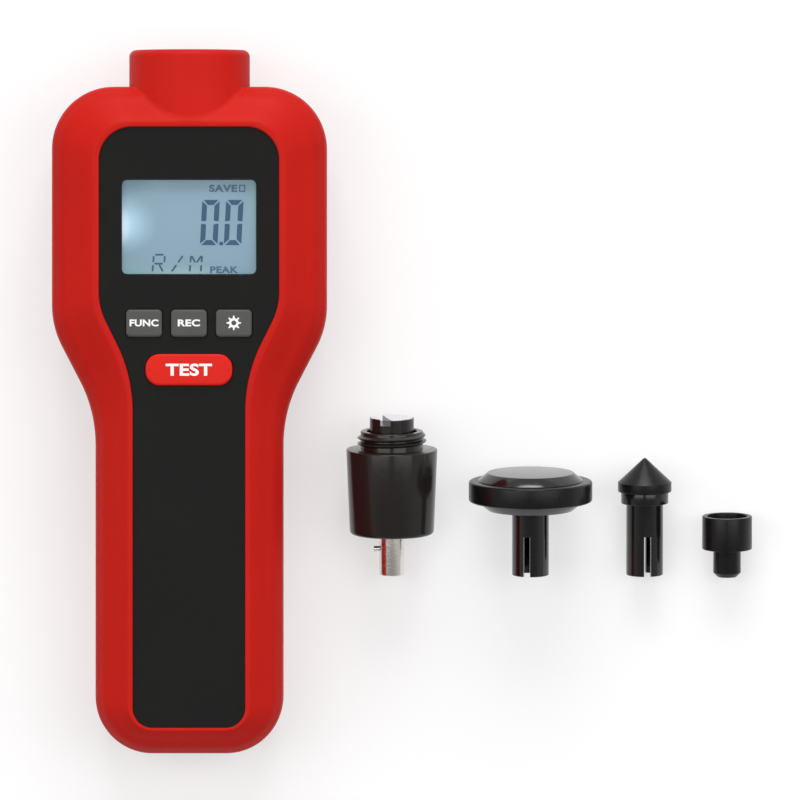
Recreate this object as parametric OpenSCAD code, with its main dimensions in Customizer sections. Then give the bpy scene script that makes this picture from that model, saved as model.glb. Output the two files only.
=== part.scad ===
// Hand-held laser tachometer on its back, with its contact adapter and tips laid out beside it.
// The origin is the middle of the meter's back face. +Y runs to the nose and +Z out of the display.

/* [Case] */
// Length of the case without its nose
body_len = 171.2; // [168:0.1:176]
// Width of the head
head_w = 70.6; // [69:0.1:74]
// Width of the handle
handle_w = 48.2; // [47.6:0.1:50]
// Thickness from the back face to the front lip
case_t = 38; // [37.4:0.1:40]
// Height of the seam between the halves, and of the nose's axis
seam_z = 22; // [21.4:0.1:22.4]
// Length of the head, from the top of the case down to its shoulders
head_len = 61.7; // [60:0.1:63]
// Length of the waist, from the shoulders down to the handle
waist_len = 21.6; // [20:0.1:23]
// Radius of the handle's end corners
foot_r = 14.6; // [12:0.1:15]
// Radius of the waist
waist_r = 35.7; // [30:0.1:38]
// Radius of the shoulders
shoulder_r = 23.1; // [18:0.1:25]
// Radius of the head's corners
head_r = 15.9; // [14:0.1:17]
// Thickness of the soft jacket
jacket_t = 2.2; // [1.8:0.05:2.3]
// Wall of the moulded shells
shell_t = 2; // [1.7:0.05:2.2]
// Depth of the sloping front border below the lip
border_depth = 11; // [9:0.1:12]
// Height of the rounded rear border
back_depth = 9; // [8:0.1:10]

/* [Face panel] */
// Width of the panel in the head
panel_head_w = 46.2; // [45.6:0.1:47]
// Width of the panel in the handle
panel_handle_w = 28.8; // [28:0.1:30]
// Margin from the panel to the top of the case
panel_top_margin = 10.4; // [9.5:0.1:11]
// Margin from the panel to the foot of the case
panel_foot_margin = 6.7; // [6:0.1:7.5]
// How far the lip stands above the panel
lip_h = 0.8; // [0.5:0.05:1]

/* [Nose] */
// Diameter of the nose
nose_d = 31; // [30.4:0.1:31.6]
// How far the nose stands out of the head
nose_out = 9.5; // [9:0.1:11]
// Rounding of the nose's end
nose_edge_r = 1.8; // [1:0.1:2]
// Outer diameter of the threaded socket
socket_d = 22.4; // [22:0.1:23]
// Bore of the socket, the core of its M18 thread
socket_bore_d = 16.4; // [16:0.1:16.6]
// How far the socket sits back from the nose's end
socket_inset = 0.8; // [0.5:0.1:1]
// Length of the socket
socket_len = 12.3; // [11.8:0.1:12.6]

/* [Display and keys] */
// Width of the display window
window_w = 35.4; // [34:0.1:36]
// Height of the display window
window_h = 25.1; // [24:0.1:25.6]
// Distance from the top of the case down to the middle of the display
window_drop = 36.1; // [35.6:0.1:36.6]
// Thickness of the window
window_t = 1.4; // [1.2:0.05:1.5]
// Width of a small key
key_w = 9.25; // [8.5:0.05:9.5]
// Height of a small key
key_h = 7; // [6.5:0.05:7.4]
// Distance between small keys
key_pitch = 11.5; // [11.4:0.1:12]
// Distance from the middle of the display down to the small keys
key_drop = 24.7; // [24.1:0.1:25]
// Width of the measure key
measure_w = 22.3; // [21:0.1:23]
// Height of the measure key
measure_h = 8.05; // [7.5:0.05:8.4]
// Distance from the small keys down to the measure key
measure_drop = 11.9; // [11.5:0.1:12.4]
// Travel of every key
key_travel = 1; // [0.6:0.05:1.1]
// How far the small keys stand above the panel
key_out = 1.1; // [0.8:0.05:1.4]

/* [Batteries] */
// Diameter of a cell
cell_d = 10.5; // [9.8:0.1:10.5]
// Length of a cell
cell_len = 44.5; // [44:0.1:45]
// Margin from the foot of the case to the battery tray
tray_margin = 10.55; // [10.2:0.05:11]
// Length of a battery spring under load
spring_len = 5; // [4.4:0.1:5.4]

/* [Contact adapter] */
// Distance from the head's side to the adapter's axis
adapter_step = 16.7; // [15:0.1:20]
// Diameter of the adapter at its spindle end
adapter_d = 21.75; // [21:0.05:22.2]
// Diameter of the adapter at its shoulder
adapter_top_d = 23.5; // [22.4:0.1:24]
// Length of the adapter's housing below the thread
adapter_len = 22.05; // [22:0.05:24]
// Diameter over the adapter's thread
thread_d = 17.8; // [17.4:0.1:18]
// Length of the adapter's thread
thread_len = 4.75; // [4:0.05:5]
// Diameter of the spindle's nose
spindle_d = 6.5; // [6.4:0.05:6.6]
// How far the spindle stands out of the housing
spindle_out = 10.7; // [10:0.1:11]
// Diameter of the rotor
rotor_d = 11.4; // [10.8:0.1:11.6]
// How far the rotor stands out of the thread
rotor_out = 3.5; // [3.4:0.01:4]
// Width of the slot across the rotor's end
rotor_slot_w = 2.45; // [2:0.05:3]
// Bore of each ball bearing
bearing_bore = 6; // [5.8:0.05:6]
// Outer diameter of each ball bearing
bearing_od = 13; // [12.8:0.05:13.2]
// Width of each ball bearing
bearing_w = 5; // [4.6:0.1:5]

/* [Tips] */
// Distance from the adapter's axis to the wheel's
wheel_step = 35.7; // [34:0.1:38]
// Diameter of the wheel, 100 mm round its rim
wheel_d = 31.83; // [30:0.01:33]
// Width of the tyre
tyre_w = 5.3; // [4.5:0.1:6]
// Diameter of the stems
stem_d = 9.5; // [9.2:0.1:10]
// Length of the wheel's stem
wheel_stem_len = 17; // [16:0.1:18]
// Distance from the wheel's axis to the cone tip's
cone_step = 29.5; // [28:0.1:32]
// Length of the tip holder's stem
holder_stem_len = 18.65; // [18.2:0.05:20]
// Diameter of the cone tip
cone_d = 13.8; // [12.6:0.1:14]
// Height of the cone
cone_h = 6.3; // [6:0.1:7]
// Distance from the cone tip's axis to the cup tip's
cup_step = 21.25; // [20:0.05:23]
// Diameter of the cup tip
cup_d = 12.85; // [12:0.05:13.4]
// Height of the cup
cup_h = 8.6; // [8:0.1:9]
// Diameter of the cup's mouth
mouth_d = 10.4; // [9.8:0.1:10.8]
// Diameter of the tips' plugs
plug_d = 7.1; // [6.6:0.05:7.2]
// Length of the tips' plugs
plug_len = 7.24; // [6.6:0.01:7.5]
// Bore of the stems, which the spindle enters
stem_bore_d = 6.6; // [6.6:0.02:6.7]
// Depth of the stems' bore
stem_bore_len = 12; // [11:0.1:12]
// Width of the stems' slot
stem_slot_w = 1.85; // [1.6:0.05:2]
// Length of the stems' slot
stem_slot_len = 10.4; // [9:0.1:11]
// Angle at which the accessories lie, tips raised
kit_tilt = 8; // [6:0.5:9]
// Place along the case of the accessories' lower ends
kit_foot_y = -39.9; // [-42:0.1:-36]
// How much nearer to the foot of the case the cup tip lies
cup_drop = 0.5; // [0:0.1:1.5]

/* [Hidden] */
$fn = 48;
// Overrun of every cut
cut = 0.5;
// How deep a rib or pillar roots in its wall
root = 0.6;
// Degrees in half a turn
half_turn = 180;

// Places along the case
shoulder_y = body_len / 2 - head_len;
waist_y = shoulder_y - waist_len;
window_y = body_len / 2 - window_drop;
key_y = window_y - key_drop;
measure_y = key_y - measure_drop;

// Places across the layout
adapter_x = head_w / 2 + adapter_step;
wheel_x = adapter_x + wheel_step;
cone_x = wheel_x + cone_step;
cup_x = cone_x + cup_step;

// Outline corners, from the foot up one side, and the points on each of their arcs
corner_points = [7, 5, 5, 7];
case_side = [
    [handle_w / 2, -body_len / 2], [handle_w / 2, waist_y],
    [head_w / 2, shoulder_y], [head_w / 2, body_len / 2]
];
case_radii = [foot_r, waist_r, shoulder_r, head_r];
panel_waist_rise = 9;
panel_shoulder_rise = 4.9;
panel_side = [
    [panel_handle_w / 2, panel_foot_margin - body_len / 2],
    [panel_handle_w / 2, waist_y + panel_waist_rise],
    [panel_head_w / 2, shoulder_y + panel_shoulder_rise],
    [panel_head_w / 2, body_len / 2 - panel_top_margin]
];
panel_radii = [5.1, 39, 17.5, 8.5];

// Front border: share of the border's width, share of its depth
front_border_shares = [
    [0, 1], [0.01, 0.89], [0.04, 0.78], [0.096, 0.69], [0.24, 0.49], [0.45, 0.33],
    [0.66, 0.155], [0.8, 0.05], [0.88, 0], [0.97, 0]
];
// Rear border: share of the front border's width, share of the rear border's height
back_border_shares = [[0.42, 0], [0.32, 0.067], [0.2, 0.2], [0.1, 0.4], [0.03, 0.667], [0, 1]];
back_panel_share = 0.5;
// How far the cavities reach in towards the panel, and the border rings that they keep
front_cavity_share = 0.85;
back_cavity_share = 0.6;
front_cavity_rings = [0, 3, 4, 6];
back_cavity_rings = [1, 2, 4];

panel_z = case_t - lip_h;
panel_under = panel_z - shell_t;
nose_end = body_len / 2 + nose_out;
nose_root = body_len / 2 - panel_top_margin + lip_h;
tube_r = nose_d / 2 - jacket_t;
tube_inner = 7.6;
tube_inner_y = body_len / 2 - tube_inner;

// Display stack, from the panel's underside to the board
window_r = 1.8;
window_proud = 0.1;
window_ledge = 0.5;
window_fit = 0.05;
glass_over = 0.8;
glass_t = 2.2;
glass_w = window_w + 2 * glass_over;
glass_h = window_h + 2 * glass_over;
glass_bottom = panel_under - glass_t;
frame_fit = 0.1;
frame_wall = 1.2;
zebra_w = 1.5;
zebra_short = 5;
guide_inset = 0.5;

// Keys
key_fit = 0.2;
key_r = 1.1;
measure_r = 3.6;
measure_out = 1.3;
key_crown_shares = [[0, 0], [0.3, 0.55], [1, 1]];
key_edge = 0.5;
key_flange = 0.8;
key_flange_t = 1.2;
post_key_d = 5;
measure_post_w = 12;
pill_rest = 0.1;
mat_t = 1;
mat_fit = 0.3;
mat_collar_t = 0.8;
mat_collar_h = 1.5;
mat_margin = 4.4;

// Battery tray and its sliding door
cell_gap = 0.5;
cell_floor_gap = 0.2;
cell_count = 3;
cell_nub_d = 3.8;
cell_nub_h = 0.9;
cell_edge = 0.5;
contact_t = 0.4;
contact_bump = 0.6;
contact_bump_d = 4;
contact_w = 8.6;
tray_wall = 1.6;
door_lift = 0.3;
door_t = 2;
door_fit = 0.2;
door_lap = 1.1;
door_over = 2.6;
tongue_out = 0.9;
tongue_t = 1;
tongue_end = 4;
rail_w = 3;
rail_h = 4.2;
grip_count = 5;
grip_pitch = 2;
grip_w = 0.9;
grip_depth = 0.5;
grip_len = 15;
cell_pitch = cell_d + cell_gap;
door_top = door_lift + door_t;
cell_z = door_top + door_fit + cell_gap / 2 + cell_d / 2;
tray_w = cell_count * cell_pitch;
tray_len = cell_len + spring_len + 2 * contact_t + contact_bump;
tray_start = tray_margin - body_len / 2;
tray_end = tray_start + tray_len;
tray_roof = cell_z + cell_d / 2 + cell_floor_gap;
door_w = tray_w + 2 * door_lap;
door_end = tray_end + door_over;
tongue_z = door_top - tongue_t;
wire_d = 0.7;
coil_foot_d = 7;
coil_head_d = 4.6;
coil_turns = 4;
coil_steps = 12;
coil_sides = 6;
coil_facet_turn = 30;

// Optics in the nose
window_disc_d = 19;
window_disc_t = 1.5;
optics_fit = 0.2;
sensor_t = 1.6;
sensor_w = 22;
sensor_h = 20;
optics_len = 14.4;
optics_front = nose_end - socket_inset - socket_len;
sensor_front = optics_front - optics_len;
laser_x = -5;
laser_d = 6;
laser_len = 12;
laser_lens_d = 4;
laser_lens_t = 1.2;
receiver_x = 4.2;
receiver_d = 8.4;
receiver_edge_t = 1.1;
receiver_crown = 1.2;
receiver_back = 3.5;
diode_d = 5;
diode_len = 5;
diode_bore_d = 5.4;
header_w = 12;
header_h = 3;
header_lap = 2.6;

// Screws that join the halves
screw_d = 2.5;
screw_head_d = 4.8;
screw_head_t = 1.9;
screw_hole_d = 2.9;
screw_recess_d = 5.4;
screw_seat_z = 12;
screw_bite = 9;
pillar_d = 6.4;
pillar_head_x = 20;
pillar_head_drop = 15.6;
pillar_handle_x = 15.1;
pillar_tray_gap = 10.15;
pillar_border_room = 2.9;
// Ribs that tie the handle's pillars to the panel
pillar_rib_x = 13.1;
pillar_rib_w = 1.8;
pillar_rib_t = 1.6;
// Places of the pillars, and the height that they reach in the front half
pillar_places = [
    for (side = [-1, 1]) each [
        [side * pillar_head_x, body_len / 2 - pillar_head_drop, panel_under + root],
        [side * pillar_handle_x, tray_end + pillar_tray_gap, panel_under - pillar_border_room]
    ]
];

// Main board
board_t = 1.6;
board_drop = 6.2;
board_top = panel_under - board_drop;
board_gap = 1;
board_tail = 21.9;
board_sensor_gap = 1.4;
board_start = measure_y - board_tail;
board_end = sensor_front - sensor_t - board_sensor_gap;
post_d = 3.8;
post_screw_d = 1.7;
post_screw_head_d = 3.4;
post_screw_head_t = 1.2;
post_screw_bite = 4;
post_head_x = 22.4;
post_head_drop = 27.6;
post_handle_x = 12;
post_handle_drop = 16.9;
post_places = [
    for (side = [-1, 1]) each [
        [side * post_head_x, body_len / 2 - post_head_drop],
        [side * post_handle_x, measure_y - post_handle_drop]
    ]
];

// Adapter, measured along its axis from the spindle's free end
spindle_chamfer = 0.4;
housing_edge = 1;
housing_floor = 1.5;
floor_hole_d = 8;
pin_d = 1.45;
pin_at = 6.8;
pin_out = 1.4;
ring_wall = 1;
ball_d = 2;
ball_fit = 0.05;
ball_count = 7;
clip_t = 0.8;
clip_bite = 0.4;
clip_w = 0.9;
clip_gap_angle = 40;
clip_room = 0.2;
spacer_t = 0.9;
rotor_hub_d = 7.8;
rotor_hub_h = 1.6;
rotor_slot_depth = 1.6;
rotor_slot_off = 2.6;
rotor_slot_turn = 11;
rotor_spindle_bite = 3.3;
foil_t = 0.15;
foil_inset = 0.3;
lower_bearing_at = spindle_out + housing_floor;
upper_bearing_at = lower_bearing_at + adapter_len - housing_floor - bearing_w - clip_t;
thread_at = spindle_out + adapter_len;
thread_end = thread_at + thread_len;
rotor_end = thread_end + rotor_out;
rotor_hub_at = upper_bearing_at + bearing_w;
rotor_at = rotor_hub_at + rotor_hub_h;
ball_orbit_d = (bearing_bore + bearing_od) / 2;

// Wheel and tips
wheel_top_d = 22.2;
wheel_rim_d = 27.3;
wheel_top_t = 2.15;
wheel_low_t = 2.2;
wheel_core_d = 23;
tyre_edge = 0.6;
step_d = 12.2;
step_t = 3.05;
cone_base_t = 2.4;
cone_point_d = 0.5;
plug_chamfer = 1.1;
plug_room = 0.16;
mouth_depth = 5.6;
stem_chamfer = 0.3;
wheel_slot_turn = -12.9;
holder_slot_turn = 9;

function unit(v) = v / norm(v);

// Arc points of one rounded corner, each with the outline's outward normal
function corner(before, at, after, r, n) =
    let (
        a = unit(before - at),
        b = unit(after - at),
        half = acos(a * b) / 2,
        centre = at + unit(a + b) * r / sin(half),
        first = at + a * r / tan(half) - centre,
        turn = cross(at - before, after - at) > 0 ? 1 : -1,
        start = atan2(first.y, first.x),
        sweep = turn * (half_turn - 2 * half)
    )
    [
        for (k = [0:n - 1])
            let (angle = start + sweep * k / (n - 1), u = [cos(angle), sin(angle)])
                [centre.x + r * u.x, centre.y + r * u.y, turn * u.x, turn * u.y]
    ];

// Closed outline that is alike on both sides, from one side's corners
function outline(side, radii, counts) =
    let (
        last = len(side) - 1,
        corners = concat(side, [for (k = [last:-1:0]) [-side[k].x, side[k].y]]),
        r = concat(radii, [for (k = [last:-1:0]) radii[k]]),
        n = concat(counts, [for (k = [last:-1:0]) counts[k]]),
        all = len(corners)
    )
    [
        for (k = [0:all - 1])
            let (before = corners[(k + all - 1) % all], after = corners[(k + 1) % all])
                each corner(before, corners[k], after, r[k], n[k])
    ];

case_outline = outline(case_side, case_radii, corner_points);
panel_outline = outline(panel_side, panel_radii, corner_points);

// Ring of the case at height z: the outline drawn in by inset, then a share of the way to the panel's outline
function ring(share, inset, z) = [
    for (k = [0:len(case_outline) - 1])
        let (
            o = case_outline[k],
            i = panel_outline[k],
            x = o[0] - inset * o[2],
            y = o[1] - inset * o[3]
        )
            [x + share * (i[0] - x), y + share * (i[1] - y), z]
];

function flat(points) = [for (p = points) [p[0], p[1]]];

// Ring of a rounded rectangle
function pad_ring(w, h, r, z) = [
    for (p = outline([[w / 2, -h / 2], [w / 2, h / 2]], [r, r], [7, 7])) [p[0], p[1], z]
];

// Solid through a stack of rings, each alike on both sides, from the lowest up
module loft(rings) {
    n = len(rings[0]);
    top = (len(rings) - 1) * n;
    polyhedron(
        points = [for (r = rings) each r],
        faces = concat(
            [for (k = [0:n / 2 - 2]) [k, k + 1, n - 2 - k, n - 1 - k]],
            [
                for (j = [0:len(rings) - 2], k = [0:n - 1])
                    let (a = j * n + k, b = j * n + (k + 1) % n)
                        each [[a, a + n, b + n], [a, b + n, b]]
            ],
            [for (k = [0:n / 2 - 2]) [top + n - 1 - k, top + n - 2 - k, top + k + 1, top + k]]
        )
    );
}

module pad(w, h, r, z0, z1) {
    translate([0, 0, z0])
        linear_extrude(z1 - z0)
            polygon(flat(pad_ring(w, h, r, 0)));
}

module box(x0, x1, y0, y1, z0, z1) {
    translate([x0, y0, z0])
        cube([x1 - x0, y1 - y0, z1 - z0]);
}

module tube(r, z0, z1) {
    translate([0, 0, z0])
        cylinder(r = r, h = z1 - z0);
}

// Stands a shape made along +Z on the nose's axis, pointing at the nose
module along_nose() {
    translate([0, 0, seam_z])
        rotate([-90, 0, 0])
            children();
}

// Case forms, solid
module front_form() {
    loft(concat(
        [ring(0, 0, seam_z)],
        [for (s = front_border_shares) ring(s[0], 0, case_t - border_depth * s[1])]
    ));
}

module rear_form() {
    loft(concat(
        [for (s = back_border_shares) ring(s[0], 0, back_depth * s[1])],
        [ring(0, 0, seam_z)]
    ));
}

function front_skin(inset) = [
    for (s = front_border_shares)
        if (s[1] > 0) ring(s[0], inset, case_t - border_depth * s[1] - inset * sqrt(s[0]))
];

// What the front jacket leaves to the shell, up to height top over the panel
module front_core(top, low) {
    step = case_t - jacket_t;
    loft(concat([ring(0, jacket_t, low)], front_skin(jacket_t), [ring(1, 0, step), ring(1, 0, top)]));
}

module front_cavity() {
    inset = jacket_t + shell_t;
    loft(concat(
        [ring(0, inset, seam_z - cut)],
        [for (k = front_cavity_rings) front_skin(inset)[k]],
        [ring(front_cavity_share, 0, panel_under)]
    ));
}

module rear_core(low, high) {
    loft(concat(
        [ring(back_panel_share, 0, low), ring(back_panel_share, 0, jacket_t)],
        [
            for (k = [1:len(back_border_shares) - 1])
                let (s = back_border_shares[k])
                    ring(s[0], jacket_t, back_depth * s[1] + jacket_t * sqrt(s[0] / back_panel_share))
        ],
        [ring(0, jacket_t, high)]
    ));
}

module rear_cavity() {
    inset = jacket_t + shell_t;
    loft(concat(
        [ring(back_cavity_share, 0, shell_t)],
        [
            for (k = back_cavity_rings)
                let (s = back_border_shares[k])
                    ring(s[0], inset, back_depth * s[1] + inset * sqrt(s[0] / back_panel_share))
        ],
        [ring(0, inset, back_depth + shell_t), ring(0, inset, seam_z + cut)]
    ));
}

// Half of the nose, above the seam or below it
module half_nose(above) {
    r = nose_d / 2;
    along_nose()
        rotate([0, 0, above ? 180 : 0])
            rotate_extrude(angle = 180)
                difference() {
                    translate([0, nose_root])
                        square([r, nose_end - nose_root]);
                    translate([r - nose_edge_r, nose_end - nose_edge_r])
                        difference() {
                            square(nose_edge_r + cut);
                            circle(nose_edge_r);
                        }
                }
}

module half_tube(above) {
    along_nose()
        rotate([0, 0, above ? 180 : 0])
            rotate_extrude(angle = 180)
                translate([0, tube_inner_y])
                    square([tube_r, nose_end - nose_edge_r - tube_inner_y]);
}

module nose_bore() {
    along_nose()
        tube(socket_d / 2, tube_inner_y - cut, nose_end + cut);
}

// Casing
module front_shell() {
    color("#1d1c1b")
        difference() {
            union() {
                difference() {
                    front_core(panel_z, seam_z);
                    front_cavity();
                }
                half_tube(true);
                for (p = pillar_places)
                    translate([p.x, p.y, 0])
                        tube(pillar_d / 2, seam_z, p.z);
                for (side = [-1, 1])
                    translate([side * pillar_rib_x, tray_end + pillar_tray_gap, 0])
                        box(-pillar_rib_w / 2, pillar_rib_w / 2, -pillar_rib_t / 2, pillar_rib_t / 2,
                            panel_under - pillar_border_room - root, panel_under + root);
                for (p = post_places)
                    translate([p.x, p.y, 0])
                        tube(post_d / 2, board_top, panel_under + root);
            }
            nose_bore();
            translate([0, window_y, 0]) {
                pad(window_w + 2 * window_fit, window_h + 2 * window_fit, window_r,
                    panel_z + window_proud - window_t, panel_z + cut);
                pad(window_w - 2 * window_ledge, window_h - 2 * window_ledge, window_r - window_ledge,
                    panel_under - cut, panel_z);
            }
            for (k = [-1:1])
                translate([k * key_pitch, key_y, 0])
                    pad(key_w + 2 * key_fit, key_h + 2 * key_fit, key_r + key_fit,
                        panel_under - cut, panel_z + cut);
            translate([0, measure_y, 0])
                pad(measure_w + 2 * key_fit, measure_h + 2 * key_fit, measure_r + key_fit,
                    panel_under - cut, panel_z + cut);
            for (p = pillar_places)
                translate([p.x, p.y, 0])
                    tube(screw_d / 2, seam_z - cut, seam_z + screw_bite);
            for (p = post_places)
                translate([p.x, p.y, 0])
                    tube(post_screw_d / 2, board_top - cut, board_top + post_screw_bite);
        }
}

module front_jacket() {
    color("#c8251d")
        difference() {
            union() {
                front_form();
                half_nose(true);
            }
            front_core(case_t + cut, seam_z - cut);
            along_nose()
                tube(tube_r, tube_inner_y, nose_end - nose_edge_r);
            nose_bore();
        }
}

// Space of the battery door and its tongues, out through the foot of the case
module door_space() {
    out = body_len / 2 + cut;
    w = door_w / 2 + door_fit;
    box(-w, w, -out, door_end + door_fit, -cut, door_top + door_fit);
    box(-w - tongue_out, w + tongue_out, -out, door_end - tongue_end + door_fit,
        tongue_z - door_fit, door_top + door_fit);
}

module rear_shell() {
    rail = tray_w / 2 + tray_wall + rail_w;
    color("#1d1c1b")
        difference() {
            union() {
                difference() {
                    rear_core(0, seam_z);
                    rear_cavity();
                }
                half_tube(false);
                intersection() {
                    union() {
                        box(-tray_w / 2 - tray_wall, tray_w / 2 + tray_wall, tray_start - tray_wall,
                            tray_end + tray_wall, shell_t - root, tray_roof + tray_wall);
                        box(-rail, rail, -body_len / 2, door_end + tray_wall, shell_t - root, rail_h);
                    }
                    rear_core(0, seam_z);
                }
                for (p = pillar_places)
                    translate([p.x, p.y, 0])
                        tube(pillar_d / 2 + tray_wall / 2, shell_t - root, seam_z);
            }
            nose_bore();
            box(-tray_w / 2, tray_w / 2, tray_start, tray_end, -cut, tray_roof);
            door_space();
            for (p = pillar_places)
                translate([p.x, p.y, 0]) {
                    tube(screw_hole_d / 2, -cut, seam_z + cut);
                    tube(screw_recess_d / 2, -cut, screw_seat_z);
                }
        }
}

module rear_jacket() {
    color("#b8211a")
        difference() {
            union() {
                rear_form();
                half_nose(false);
            }
            rear_core(-cut, seam_z + cut);
            along_nose()
                tube(tube_r, tube_inner_y, nose_end - nose_edge_r);
            nose_bore();
            door_space();
        }
}

module battery_cover() {
    w = door_w / 2;
    color("#1a1918")
        difference() {
            union() {
                intersection() {
                    rear_form();
                    box(-w, w, -body_len / 2, door_end, door_lift, door_top);
                }
                for (side = [-1, 1])
                    translate([side * w, 0, 0])
                        box(-tongue_out, tongue_out, tray_start - tray_wall, door_end - tongue_end,
                            tongue_z, door_top);
            }
            for (k = [0:grip_count - 1])
                translate([0, tray_start + tongue_end + k * grip_pitch, 0])
                    box(-grip_len / 2, grip_len / 2, 0, grip_w, 0, door_lift + grip_depth);
        }
}

module case_screws() {
    color("#8c8d90")
        for (p = pillar_places)
            translate([p.x, p.y, screw_seat_z]) {
                tube(screw_head_d / 2, -screw_head_t, 0);
                tube(screw_d / 2, -root, seam_z - screw_seat_z + screw_bite - root);
            }
}

// Display
module display_window() {
    color("#b9c7d0", 0.35)
        translate([0, window_y, 0])
            pad(window_w, window_h, window_r, panel_z + window_proud - window_t, panel_z + window_proud);
}

module lcd_glass() {
    color("#8faab8")
        translate([0, window_y, 0])
            box(-glass_w / 2, glass_w / 2, -glass_h / 2, glass_h / 2, glass_bottom, panel_under);
}

module lcd_frame() {
    w = glass_w / 2 + frame_fit;
    h = glass_h / 2 + frame_fit;
    color("#d8d8d4")
        translate([0, window_y, 0])
            difference() {
                box(-w - frame_wall, w + frame_wall, -h - frame_wall, h + frame_wall, board_top, panel_under);
                box(-w, w, -h, h, board_top - cut, panel_under + cut);
            }
}

module backlight_guide() {
    h = glass_h / 2 - guide_inset;
    color("#eef0ea")
        translate([0, window_y, 0])
            box(guide_inset - glass_w / 2, glass_w / 2 - guide_inset, zebra_w + frame_fit - h, h,
                board_top, glass_bottom);
}

module zebra_strip() {
    low = guide_inset - glass_h / 2;
    w = (glass_w - zebra_short) / 2;
    color("#3a3a3a")
        translate([0, window_y, 0])
            box(-w, w, low, low + zebra_w, board_top, glass_bottom);
}

// Key cap with a crowned top, a flange under the panel and a post with its contact pill
module key(w, h, r, out) {
    top = panel_z + out;
    flange_top = panel_under - key_fit;
    loft(concat(
        [pad_ring(w, h, r, flange_top - key_flange_t / 2), pad_ring(w, h, r, top - key_edge)],
        [
            for (s = key_crown_shares)
                if (s[0] > 0)
                    pad_ring(w - 2 * key_edge * s[0], h - 2 * key_edge * s[0], r - key_edge * s[0] / 2,
                        top - key_edge + key_edge * s[1])
        ]
    ));
    pad(w + 2 * key_flange, h + 2 * key_flange, r + key_flange, flange_top - key_flange_t, flange_top);
}

module small_key(place) {
    color("#5c5b5b")
        translate([place * key_pitch, key_y, 0]) {
            key(key_w, key_h, key_r, key_out);
            tube(post_key_d / 2, board_top + key_travel + pill_rest, panel_under - key_flange_t);
        }
}

module mode_key() {
    small_key(-1);
}

module memory_key() {
    small_key(0);
}

module light_key() {
    small_key(1);
}

module measure_key() {
    color("#e8261e")
        translate([0, measure_y, 0]) {
            key(measure_w, measure_h, measure_r, measure_out);
            pad(measure_post_w, post_key_d, post_key_d / 2, board_top + key_travel + pill_rest,
                panel_under - key_flange_t);
        }
}

module key_mat() {
    w = key_pitch + key_w / 2 + mat_margin / 2;
    low = measure_y - measure_h / 2 - mat_margin;
    high = key_y + key_h / 2 + mat_margin;
    hole = post_key_d + 2 * mat_fit;
    collar = hole + 2 * mat_collar_t;
    long = measure_post_w - post_key_d;
    color("#9a9a98")
        difference() {
            union() {
                translate([0, (low + high) / 2, 0])
                    pad(2 * w, high - low, key_r, board_top, board_top + mat_t);
                for (k = [-1:1])
                    translate([k * key_pitch, key_y, 0])
                        tube(collar / 2, board_top, board_top + mat_t + mat_collar_h);
                translate([0, measure_y, 0])
                    pad(long + collar, collar, collar / 2 - pill_rest,
                        board_top, board_top + mat_t + mat_collar_h);
            }
            for (p = pillar_places)
                translate([p.x, p.y, 0])
                    tube(pillar_d / 2 + mat_fit, board_top - cut, panel_under);
            for (k = [-1:1])
                translate([k * key_pitch, key_y, 0])
                    tube(hole / 2, board_top - cut, panel_under);
            translate([0, measure_y, 0])
                pad(long + hole, hole, hole / 2 - pill_rest, board_top - cut, panel_under);
        }
}

// Electronics
module main_board() {
    inset = jacket_t + shell_t + board_gap;
    color("#1f6b3a")
        difference() {
            intersection() {
                translate([0, 0, board_top - board_t])
                    linear_extrude(board_t)
                        polygon(flat(ring(0, inset, 0)));
                box(-head_w / 2, head_w / 2, board_start, board_end,
                    board_top - 2 * board_t, board_top + board_t);
            }
            for (p = pillar_places)
                translate([p.x, p.y, 0])
                    tube(pillar_d / 2 + board_gap, board_top - 2 * board_t, board_top + board_t);
            for (p = post_places)
                translate([p.x, p.y, 0])
                    tube(post_screw_d / 2, board_top - 2 * board_t, board_top + board_t);
        }
}

// Parts under the main board, each placed below the middle of the display
chip_size = [10, 10, 1.5];
chip_x = -9;
chip_drop = 5.5;
memory_size = [5, 4, 1.5];
memory_x = 9;
memory_drop = -0.5;
driver_size = [9, 7, 1.7];
driver_x = 0;
driver_drop = 33.5;
crystal_d = 3;
crystal_len = 8;
crystal_x = -9;
crystal_drop = 17.5;
capacitor_d = 5;
capacitor_len = 5.5;
capacitor_x = 14;
capacitor_drop = 11.5;
chips = [
    [chip_size, chip_x, chip_drop], [memory_size, memory_x, memory_drop], [driver_size, driver_x, driver_drop]
];

module board_parts() {
    low = board_top - board_t;
    color("#232326") {
        for (c = chips)
            translate([c[1] - c[0].x / 2, window_y - c[2] - c[0].y / 2, low - c[0].z])
                cube(c[0]);
        translate([capacitor_x, window_y - capacitor_drop, 0])
            tube(capacitor_d / 2, low - capacitor_len, low);
        translate([crystal_x - crystal_len / 2, window_y - crystal_drop, low - crystal_d / 2])
            rotate([0, 90, 0])
                cylinder(d = crystal_d, h = crystal_len);
    }
}

module board_screws() {
    low = board_top - board_t;
    color("#b9babd")
        for (p = post_places)
            translate([p.x, p.y, 0]) {
                tube(post_screw_head_d / 2, low - post_screw_head_t, low);
                tube(post_screw_d / 2, low - post_screw_head_t / 2, board_top + post_screw_bite - root);
            }
}

module sensor_board() {
    color("#1f6b3a")
        box(-sensor_w / 2, sensor_w / 2, sensor_front - sensor_t, sensor_front,
            seam_z - sensor_h / 2, seam_z + sensor_h / 2);
}

module board_header() {
    low = board_top - board_t;
    color("#202022")
        box(-header_w / 2, header_w / 2, board_end - header_lap, sensor_front - sensor_t,
            low - header_h, low);
}

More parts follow.
